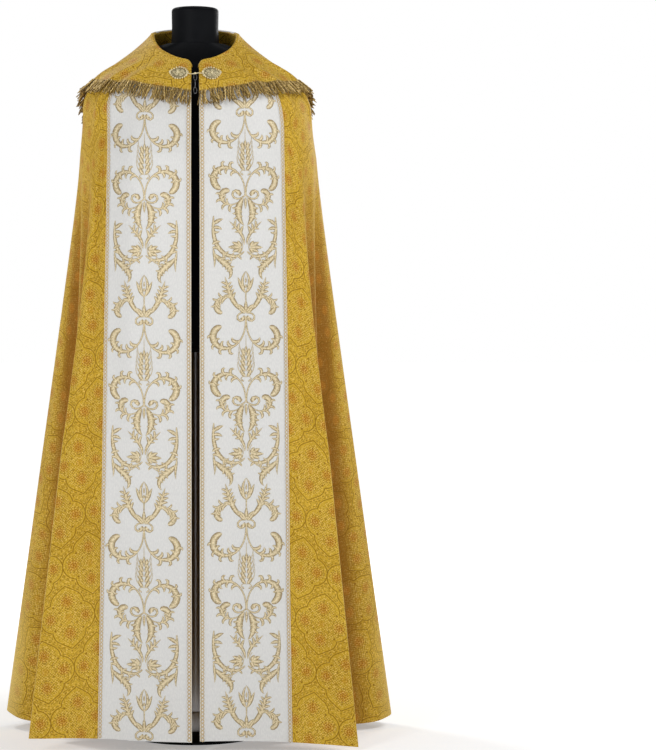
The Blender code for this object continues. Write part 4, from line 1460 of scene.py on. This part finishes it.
# the fringe's two layers: how far apart the bullions are sewn and where the first one is, how far
# a layer stands off the hood's middle, where its tones start in their order, and its own tone.
# Then a cord: its steps, its turns round its fellow, its radius, how far its middle is from the
# bullion's, and its sides.
FringeLayer = namedtuple("FringeLayer", "pitch start lift order tone")
FRINGE_LAYERS = (
    FringeLayer(0.0036, 0.0010, 0.0002, 0.0, -0.06),
    FringeLayer(0.0038, 0.0023, 0.0024, 0.3, 0.06),
)
CORD_STEPS = 13
CORD_TURNS = 2.2
CORD_RADIUS = 0.00088
CORD_APART = 0.00086
CORD_SIDES = 5
# how the bullions vary: their places along the edge, their lean along it, their lean outwards as a
# mean and a spread, their lengths, their sway and the tones of bullions and of steps along a cord
PLACE_SPREAD = 0.0006
LEAN_SPREAD = 0.24
OUT_LEAN, OUT_SPREAD = 0.05, 0.09
CORD_LENGTHS = (0.031, 0.0405)
SWAY_SPREAD = 0.0022
TONE_SPREAD, STEP_SPREAD = 0.10, 0.13
# a bullion's tone: the darkest, the range of tones that they take in golden steps, how much paler
# they are in the middle of the back and within how many turns of it, and how much paler a cord is
# painted where its twist brings it to the outside and darker where it goes behind: painted light
# and shade
TONE_LOW, TONE_RANGE = 0.06, 0.58
GOLDEN_STEP = 0.618
BACK_PALER, BACK_TURNS = 0.14, 5.0
TWIST_PAINTED_LIGHT = 0.26
# how far above the hood's edge, in rows, a bullion is sewn, and how its way is mixed: along the
# cloth, square to the edge, straight down, and outwards, the last more where the edge runs steeply
SEWN_ABOVE = 0.012
WAY_CLOTH, WAY_SQUARE, WAY_DOWN = 0.45, 0.60, 0.25
WAY_OUT, WAY_OUT_STEEP = 0.05, 0.22


def make_fringe(side):
    """Bullion fringe: pairs of cords twisted round each other, side by side along the hood.

    Each cord follows its strand's middle, p + fall s, plus a small circle that turns with s, so
    two cords half a turn apart make one bullion. Lean, length, sway and tone vary a little.
    """
    centre = LINE["centre_back"]
    low, high = (0.0, centre - 0.002) if side == "left" else (centre + 0.002, LAST)
    fine = np.linspace(low, high, 2400)
    run = length_along(draped(fine, hood_edge(fine), 0.0), 0)
    s = np.linspace(0, 1, CORD_STEPS)
    apart = CORD_APART * np.sqrt(np.clip(1 - ((s - 0.5) / 0.52) ** 2, 0.02, 1))[:, None]
    thick = CORD_RADIUS * np.minimum(1, 0.55 + 8 * np.minimum(s, 1 - s))
    pieces, tones = [], []
    for layer in FRINGE_LAYERS:
        spots = np.arange(layer.start, run[-1] - 0.0008, layer.pitch)
        count = len(spots)
        turns = np.interp(spots + rng.uniform(-PLACE_SPREAD, PLACE_SPREAD, count), run, fine)
        rows = hood_edge(turns)
        lift = HOOD_LIFT + layer.lift
        top = draped(turns, rows - SEWN_ABOVE, lift)
        out = outward(turns, rows)
        fall = unit(draped(turns, rows, lift) - draped(turns, rows - 0.05, lift))
        ahead = unit(np.gradient(draped(turns, rows, 0.0), axis=0))
        square = np.cross(out, ahead)
        square *= np.sign((square * fall).sum(-1, keepdims=True))
        steep = eased(np.abs(out[:, :1]), 0.35, 0.85)
        way = (fall * WAY_CLOTH + square * WAY_SQUARE - np.array([0, 0, WAY_DOWN])
               + out * (WAY_OUT + WAY_OUT_STEEP * steep))
        way += (ahead * rng.normal(0, LEAN_SPREAD, (count, 1))
                + out * rng.normal(OUT_LEAN, OUT_SPREAD, (count, 1)))
        way = unit(way - out * np.minimum((way * out).sum(-1, keepdims=True), 0.0))
        length = rng.uniform(*CORD_LENGTHS, count)
        bow = rng.normal(0, SWAY_SPREAD, (count, 1, 1)) * np.sin(np.pi * s)[:, None]
        middle = top[:, None] + way[:, None] * (length[:, None] * s)[..., None]
        middle = middle + ahead[:, None] * bow
        phase = rng.uniform(0, 2 * math.pi, count)
        angle = phase[:, None] + s * 2 * math.pi * CORD_TURNS
        aside = unit(np.cross(way, out))
        front = np.cross(aside, way)
        order = (np.arange(count) * GOLDEN_STEP + layer.order) % 1.0
        tone = (TONE_LOW + TONE_RANGE * order + rng.normal(0, TONE_SPREAD, count) + layer.tone
                + BACK_PALER * np.exp(-((turns - LAST / 2) / BACK_TURNS) ** 2))
        for half in (0.0, math.pi):
            circle = (np.cos(angle + half)[..., None] * aside[:, None]
                      + np.sin(angle + half)[..., None] * front[:, None]) * apart
            pieces.append(tubes(middle + circle, np.tile(thick, (count, 1)), CORD_SIDES))
            # paler where the cord comes round to the outside of its twist, darker behind: painted
            # light and shade
            shade = (tone[:, None] + TWIST_PAINTED_LIGHT * np.sin(angle + half)
                     + rng.normal(0, STEP_SPREAD, angle.shape))
            tones.append(np.repeat(np.clip(shade, 0, 1).ravel(), CORD_SIDES))
    return mesh_piece(f"fringe_bullion_{side}", *joined(pieces), BULLION, "bullion_thread",
                      f"fringe_{side}", shade=np.concatenate(tones), seam_angle=0)


# ---------------------------------------------------------------- the clasp

# a plate's size, the row on which the clasp lies, how far a plate's middle is from the opening,
# and how much of its height it loses at its outer end; then the hook and the chain's links
PLATE_LENGTH = 0.036
PLATE_HEIGHT = 0.030
PLATE_ROW = 0.46
PLATE_AWAY = 0.0335
PLATE_POINT = 0.55
HOOK_RADIUS = 0.0016
LINKS = 3
LINK_LENGTH = 0.0165
LINK_WIDTH = 0.0062
LINK_WIRE = 0.0011
LINK_SQUARE = 0.8

# the plate's dome, from its edge in: the share of its outline and the height of each ring
Dome = namedtuple("Dome", "share height")
DOME = (Dome(1.0, 0.0), Dome(1.0, 0.0008), Dome(0.94, 0.0013), Dome(0.8, 0.0018),
        Dome(0.55, 0.0022), Dome(0.25, 0.0024))
DOME_TOP = 0.0024
# its curled wires, in millimetres: where each is, its size, its turns and where it starts
Curl = namedtuple("Curl", "x y size turns spin")
CURLS = (
    Curl(-7.0, 4.6, 4.0, 1.6, 0.4), Curl(-7.0, -4.6, 4.0, -1.6, -0.4),
    Curl(2.6, 5.2, 3.6, -1.5, 2.6), Curl(2.6, -5.2, 3.6, 1.5, -2.6),
    Curl(9.6, 0.0, 2.8, 1.4, 3.1), Curl(-12.4, 0.0, 2.4, 1.4, 0.0),
)
CURL_HEIGHT = 0.0027
CURL_DROP = 0.0010
CURL_WIRE = 0.00070
# its rim's beads: how many, their radius, and their height; its boss; the petals round that and
# their circle; how flat the beads and the boss are; and the two small rings at its inner end
RIM_BEADS, RIM_BEAD, RIM_HEIGHT = 22, 0.0021, 0.0012
BOSS = 0.0030
PETALS, PETAL, PETAL_CIRCLE = 8, 0.0011, 0.0044
FLAT = (1.0, 1.0, 0.7)
END_RING, END_RING_WIRE, END_RING_HEIGHT = 0.0046, 0.00065, 0.0014
# the hook: how far its middle bows out and its ends bend up and down, and its knob
HOOK_BOW, HOOK_BEND = 0.0006, 0.0010
KNOB, KNOB_OUT = 0.0026, 0.001


def front_frame(turn, row, lift):
    """A place on the hood's front with its directions: outwards, across to +X and upwards."""
    turn, row = np.array([turn]), np.array([row])
    out = outward(turn, row)[0]
    place, above = cloth(turn, row)[0], cloth(turn, row - 0.05)[0]
    up = above - place
    up = unit(up - out * (up * out).sum())
    return place + out * lift, out, np.cross(up, out), up


def leaf_outline(long, high, points):
    """The plate's outline: an oval whose height narrows by the cosine squared to its outer end."""
    a = round_angles(points)
    narrow = 1.0 - PLATE_POINT * np.clip(np.cos(a), 0, 1) ** 2
    return np.stack([np.cos(a) * PLATE_LENGTH * long / 2,
                     np.sin(a) * PLATE_HEIGHT * high / 2 * narrow], axis=-1)


def at_height(flat, height):
    """Flat places set at a height."""
    return np.concatenate([flat, np.full((len(flat), 1), height)], axis=1)


def curled_wires():
    """Flat spirals whose radius shrinks evenly as they turn, lowered to lie on the dome."""
    s = np.linspace(0, 1, 26)
    wires = []
    for curl in CURLS:
        a = curl.spin + curl.turns * 2 * math.pi * s
        reach = curl.size * (1 - 0.85 * s)
        flat = np.stack([curl.x + reach * np.cos(a), curl.y + reach * np.sin(a)], axis=-1) / 1000
        off_middle = ((flat / (PLATE_LENGTH / 2, PLATE_HEIGHT / 2)) ** 2).sum(axis=1)
        height = CURL_HEIGHT - CURL_DROP * off_middle
        wires.append(np.concatenate([flat, height[:, None]], axis=1))
    wires = np.array(wires)
    return tubes(wires, np.full(wires.shape[:2], CURL_WIRE), 6)


def domed_leaf(sign, sides=64):
    """The plate: rings of its outline that rise and shrink, closed below and at its top.

    The left one's frame is left-handed, so its outline runs the other way round.
    """
    outline = leaf_outline(0.97, 0.97, sides)[::sign]
    rings = [at_height(outline * step.share, step.height) for step in DOME]
    number = np.arange(sides)
    last = (len(DOME) - 1) * sides
    top = np.full(sides, last + sides)
    fan = np.stack([last + number, top, last + (number + 1) % sides], axis=1)
    return (np.concatenate([*rings, [[0, 0, DOME_TOP]]]),
            [grid_quads(len(DOME), sides, wrap=True), fan, number[None]])


def make_plate(side):
    """One filigree half of the clasp: a domed leaf with curled wires and petals round a boss, a
    rim of gilt beads, and two small rings at its inner end."""
    sign = -1 if side == "left" else 1
    turns = np.linspace(0.0, 1.0, 60) if side == "left" else LAST - np.linspace(0.0, 1.0, 60)
    turn = float(np.interp(PLATE_AWAY, np.abs(cloth(turns, PLATE_ROW)[:, 0]), turns))
    place, out, across, up = front_frame(turn, PLATE_ROW, HOOD_LIFT + CLOTH / 2 + LOOSE)
    axes = np.stack([across * sign, up, out], axis=-1)

    def set_on_hood(name, shape, finish, node=None, seam_angle=0):
        mesh_piece(f"{name}_{side}", place + shape[0] @ axes.T, shape[1], finish,
                   "antique_silver_gilt", node, seam_angle=seam_angle)

    def handed(shapes):
        points, faces = joined(shapes)
        return points, [block[:, ::sign] for block in faces]

    set_on_hood("clasp_leaf", domed_leaf(sign), SILVER, f"clasp_plate_{side}", 60)
    rim = at_height(leaf_outline(1.03, 1.10, RIM_BEADS), RIM_HEIGHT)
    end = 0.0002 - PLATE_LENGTH / 2
    set_on_hood("clasp_rim", handed([
        scattered(bead_shape(RIM_BEAD, 4, 8, FLAT), rim),
        scattered(oval_ring(END_RING, END_RING, END_RING_WIRE, 16, 6),
                  np.array([[end, y, END_RING_HEIGHT] for y in (-END_RING, END_RING)])),
        scattered(bead_shape(BOSS, 6, 14, FLAT), np.array([[0, 0, DOME_TOP]]))]), GILT)
    a = round_angles(PETALS)
    petals = at_height(np.stack([np.cos(a), np.sin(a)], axis=-1) * PETAL_CIRCLE, DOME_TOP)
    set_on_hood("clasp_filigree", handed([
        curled_wires(), scattered(bead_shape(PETAL, 3, 6), petals)]), GILT)


def make_hook_and_chain():
    """The hook across the opening with its knob, and the short chain of long links below.

    The hook swells to its middle by a bell and is thinner at its very ends. A link's outline is
    an oval squared off: each wave of its circle to a power under one.
    """
    middle, _, _, up = front_frame(0.0, PLATE_ROW, HOOD_LIFT + CLOTH / 2 + LOOSE + HOOK_RADIUS)
    middle[0] = 0.0
    reach = PLATE_AWAY - PLATE_LENGTH / 2 - GAP
    s = np.linspace(-1, 1, 25)
    path = middle + np.stack([s * reach, -HOOK_BOW * np.cos(s * math.pi / 2),
                              HOOK_BEND * np.sin(s * math.pi)], axis=-1)
    radii = np.where(np.abs(s) > 0.93, 0.6, 1.0) * HOOK_RADIUS
    radii = radii * (0.62 + 0.30 * np.exp(-(s / 0.25) ** 2))
    knob = scattered(bead_shape(KNOB, 6, 12, (1.0, 1.0, 0.9)), middle[None] - [0, KNOB_OUT, 0])
    mesh_piece("clasp_hook_bar", *joined([tubes(path[None], radii[None], 10), knob]), GILT,
               "antique_silver_gilt", "clasp_hook", seam_angle=0)

    across = np.array((1.0, 0.0, 0.0))
    fall = unit(np.array((0.0, -up[1], -up[2])))
    out = np.cross(fall, across)
    a = round_angles(40)
    squared = np.stack([np.sign(wave) * np.abs(wave) ** LINK_SQUARE * size / 2 for wave, size in
                        ((np.cos(a), LINK_LENGTH), (np.sin(a), LINK_WIDTH), (a * 0, 0))], axis=-1)
    link, link_faces = wire_ring(squared, unit(squared), LINK_WIRE * 0.8, 8)
    spot = middle + fall * (HOOK_RADIUS + GAP + LINK_WIRE + LINK_LENGTH / 2)
    for number in range(LINKS):
        axes = (fall, across, out) if number % 2 == 0 else (fall, -out, across)
        mesh_piece(f"chain_link_{number + 1}", spot + link @ np.array(axes),
                   [block[:, ::-1] for block in link_faces], CHAIN, "antique_silver_gilt",
                   f"clasp_link_{number + 1}", seam_angle=0)
        spot = spot + fall * (LINK_LENGTH + 2 * LINK_WIRE + GAP)


# ---------------------------------------------------------------- the dress form

# the torso's level ovals from the bottom to the top, and how far back the middle of each lies
Section = namedtuple("Section", "z half_width half_depth back")
TORSO = (
    Section(0.810, 0.140, 0.095, 0.005),
    Section(0.818, 0.152, 0.104, 0.005),
    Section(0.890, 0.166, 0.116, 0.004),
    Section(0.990, 0.150, 0.106, 0.000),
    Section(1.070, 0.142, 0.100, 0.000),
    Section(1.170, 0.162, 0.112, 0.000),
    Section(1.250, 0.182, 0.118, 0.000),
    Section(1.310, 0.206, 0.104, 0.004),
    Section(1.345, 0.214, 0.082, 0.006),
    Section(1.370, 0.206, 0.064, 0.006),
    Section(1.390, 0.190, 0.052, 0.005),
    Section(1.415, 0.1546, 0.046, 0.003),
    Section(1.440, 0.116, 0.046, 0.000),
    Section(1.456, 0.066, 0.050, 0.000),
)

# the heights of the neck's foot, the cap's underside and the top; and the pieces turned about the
# Z axis, with their sides and their (radius, height) points from the bottom to the top
NECK_FOOT, CAP_LOW, NECK_TOP = 1.4563, 1.526, 1.532
Turned = namedtuple("Turned", "name finish slot node sides profile")
TURNED = (
    Turned("form_neck_column", SHELL, "black_form", "form_neck", 72, (
        (0.0508, NECK_FOOT), (0.0498, NECK_FOOT + 0.010), (0.0491, NECK_FOOT + 0.020),
        (0.0488, NECK_FOOT + 0.035), (0.0492, CAP_LOW - 0.012), (0.0493, CAP_LOW - 0.0006),
        (0.0487, CAP_LOW - GAP))),
    Turned("form_neck_cap", SHELL, "black_form", "form_cap", 72, (
        (0.0485, CAP_LOW), (0.0492, CAP_LOW + 0.0006), (0.0490, CAP_LOW + 0.0020),
        (0.0483, CAP_LOW + 0.0036), (0.0470, CAP_LOW + 0.0050), (0.0452, NECK_TOP))),
    Turned("form_base_disc", BASE_COAT, "black_steel", "form_base", 128, (
        (0.1375, 0.0), (0.1394, 0.0008), (0.1400, 0.0025), (0.1398, 0.0050), (0.1375, 0.0068),
        (0.1325, 0.0080))),
    Turned("form_pole_collar", STEEL, "steel", "form_collar", 72, (
        (0.0240, 0.0083), (0.0238, 0.0140), (0.0205, 0.0420), (0.0192, 0.0480))),
    Turned("form_pole_tube", STEEL, "steel", "form_pole", 48, ((0.0125, 0.0483), (0.0125, 0.8097))),
)


def stacked_piece(name, wide, deep, back, z, sides, finish, slot, node, seam_angle):
    """A closed piece from level ovals (wide cos a, back + deep sin a), bottom to top."""
    a = round_angles(sides)
    points = np.stack([wide[:, None] * np.cos(a), back[:, None] + deep[:, None] * np.sin(a),
                       np.broadcast_to(z[:, None], (len(z), sides))], axis=-1)
    faces = [grid_quads(len(z), sides, wrap=True)[:, ::-1], end_caps(len(z), sides)]
    mesh_piece(name, points, faces, finish, slot, node, seam_angle=seam_angle)


def make_form():
    """Torso of oval sections eased between its rows, and the turned neck, cap, pole and base."""
    z, *table = np.array(TORSO).T
    fine = np.unique(np.concatenate([np.linspace(z[0], z[-1], 90), z]))
    stacked_piece("form_shell", *(np.interp(fine, z, column) for column in table), fine, 96,
                  SHELL, "black_form", "form_torso", 40)
    for piece in TURNED:
        radius, height = np.array(piece.profile).T
        stacked_piece(piece.name, radius, radius, radius * 0, height, piece.sides, piece.finish,
                      piece.slot, piece.node, 35)


# ---------------------------------------------------------------- put together

cope = make_cope()
(left_satin, left_trim), (right_satin, right_trim) = (make_orphrey(each) for each in ORPHREYS)
hood, panel, panel_figures = make_hood()
panel_braids = [piece for braid in PANEL_BRAIDS for piece in make_panel_braid(braid)]
neck_edge, panel_edge = make_neck_edge()
fringes = [make_fringe(side) for side in SIDES]
for side in SIDES:
    make_plate(side)
make_hook_and_chain()
make_form()

# ---------------------------------------------------------------- floor, light and camera

# the light that the surroundings give, where the camera sees them as 1; the floor's half size, and
# the reach over which its glow grows round the foot; and what the lamps look at
AMBIENT = 0.27
FLOOR_HALF = 60
GLOW_FROM, GLOW_TO = 0.4, 3.2
AIM = (0, 0, 0.8)
Lamp = namedtuple("Lamp", "name place size power")
LAMPS = (
    Lamp("key", (-2.3, -4.1, 2.3), 1.0, 47),
    Lamp("fill", (3.2, -1.8, 5.0), 2.0, 106),
    Lamp("back_key", (-2.6, 2.6, 4.4), 1.0, 64),
    Lamp("back_fill", (2.4, 3.9, 2.6), 1.5, 48),
)
# the camera's place, how far it looks down and round to the right in degrees, its lens and its
# film in millimetres, and its reach in metres
CAMERA_PLACE = (0.0, -4.925, 0.856)
CAMERA_DOWN, CAMERA_RIGHT = 1.1115, 3.259
LENS, FILM = 127.7, 36.0
CAMERA_REACH = 60.0


def placed(name, data, place=(0, 0, 0), turn=(0, 0, 0)):
    """A new object in the scene, at a place and turned."""
    made = bpy.data.objects.new(name, data)
    made.location = place
    made.rotation_euler = turn
    bpy.context.collection.objects.link(made)
    return made


floor_mesh = bpy.data.meshes.new("floor")
floor_mesh.from_pydata([(x * FLOOR_HALF, y * FLOOR_HALF, 0) for x, y in
                        ((-1, -1), (1, -1), (1, 1), (-1, 1))], [], [(0, 1, 2, 3)])
paper = Finish("pale_floor", Roughness=0.9, Specular_IOR_Level=0.1, Emission_Strength=1.0,
               Base_Color=(0.90, 0.90, 0.90, 1.0))
across_floor, along_floor = split_xy(paper.tree, paper.place())
glow = across_floor.length(along_floor).ease(GLOW_FROM, GLOW_TO)
paper.feed("Emission Color", paper.coats((0.34, 0.34, 0.34), (glow, (0.80, 0.80, 0.80))))
floor_mesh.materials.append(paper.material)
placed("floor", floor_mesh)

world = bpy.data.worlds.new("studio")
bpy.context.scene.world = world
world.use_nodes = True
sky = world.node_tree.nodes["Background"]
sky.inputs["Color"].default_value = (1.0, 1.0, 1.0, 1.0)
seen = world.node_tree.nodes.new("ShaderNodeLightPath")
level = Field(world.node_tree, seen.outputs["Is Camera Ray"]) * (1.0 - AMBIENT) + AMBIENT
world.node_tree.links.new(level.socket, sky.inputs["Strength"])

for lamp in LAMPS:
    light = bpy.data.lights.new(lamp.name, "AREA")
    light.shape = "SQUARE"
    light.size = lamp.size
    light.energy = lamp.power
    facing = (Vector(AIM) - Vector(lamp.place)).to_track_quat("-Z", "Y").to_euler()
    placed(lamp.name, light, lamp.place, facing)

camera_data = bpy.data.cameras.new("camera")
camera_data.sensor_fit = "HORIZONTAL"
camera_data.sensor_width = FILM
camera_data.lens = LENS
camera_data.clip_end = CAMERA_REACH
bpy.context.scene.camera = placed("camera", camera_data, CAMERA_PLACE, (
    math.radians(90.0 - CAMERA_DOWN), 0.0, math.radians(-CAMERA_RIGHT)))
bpy.context.scene.view_settings.view_transform = "Standard"
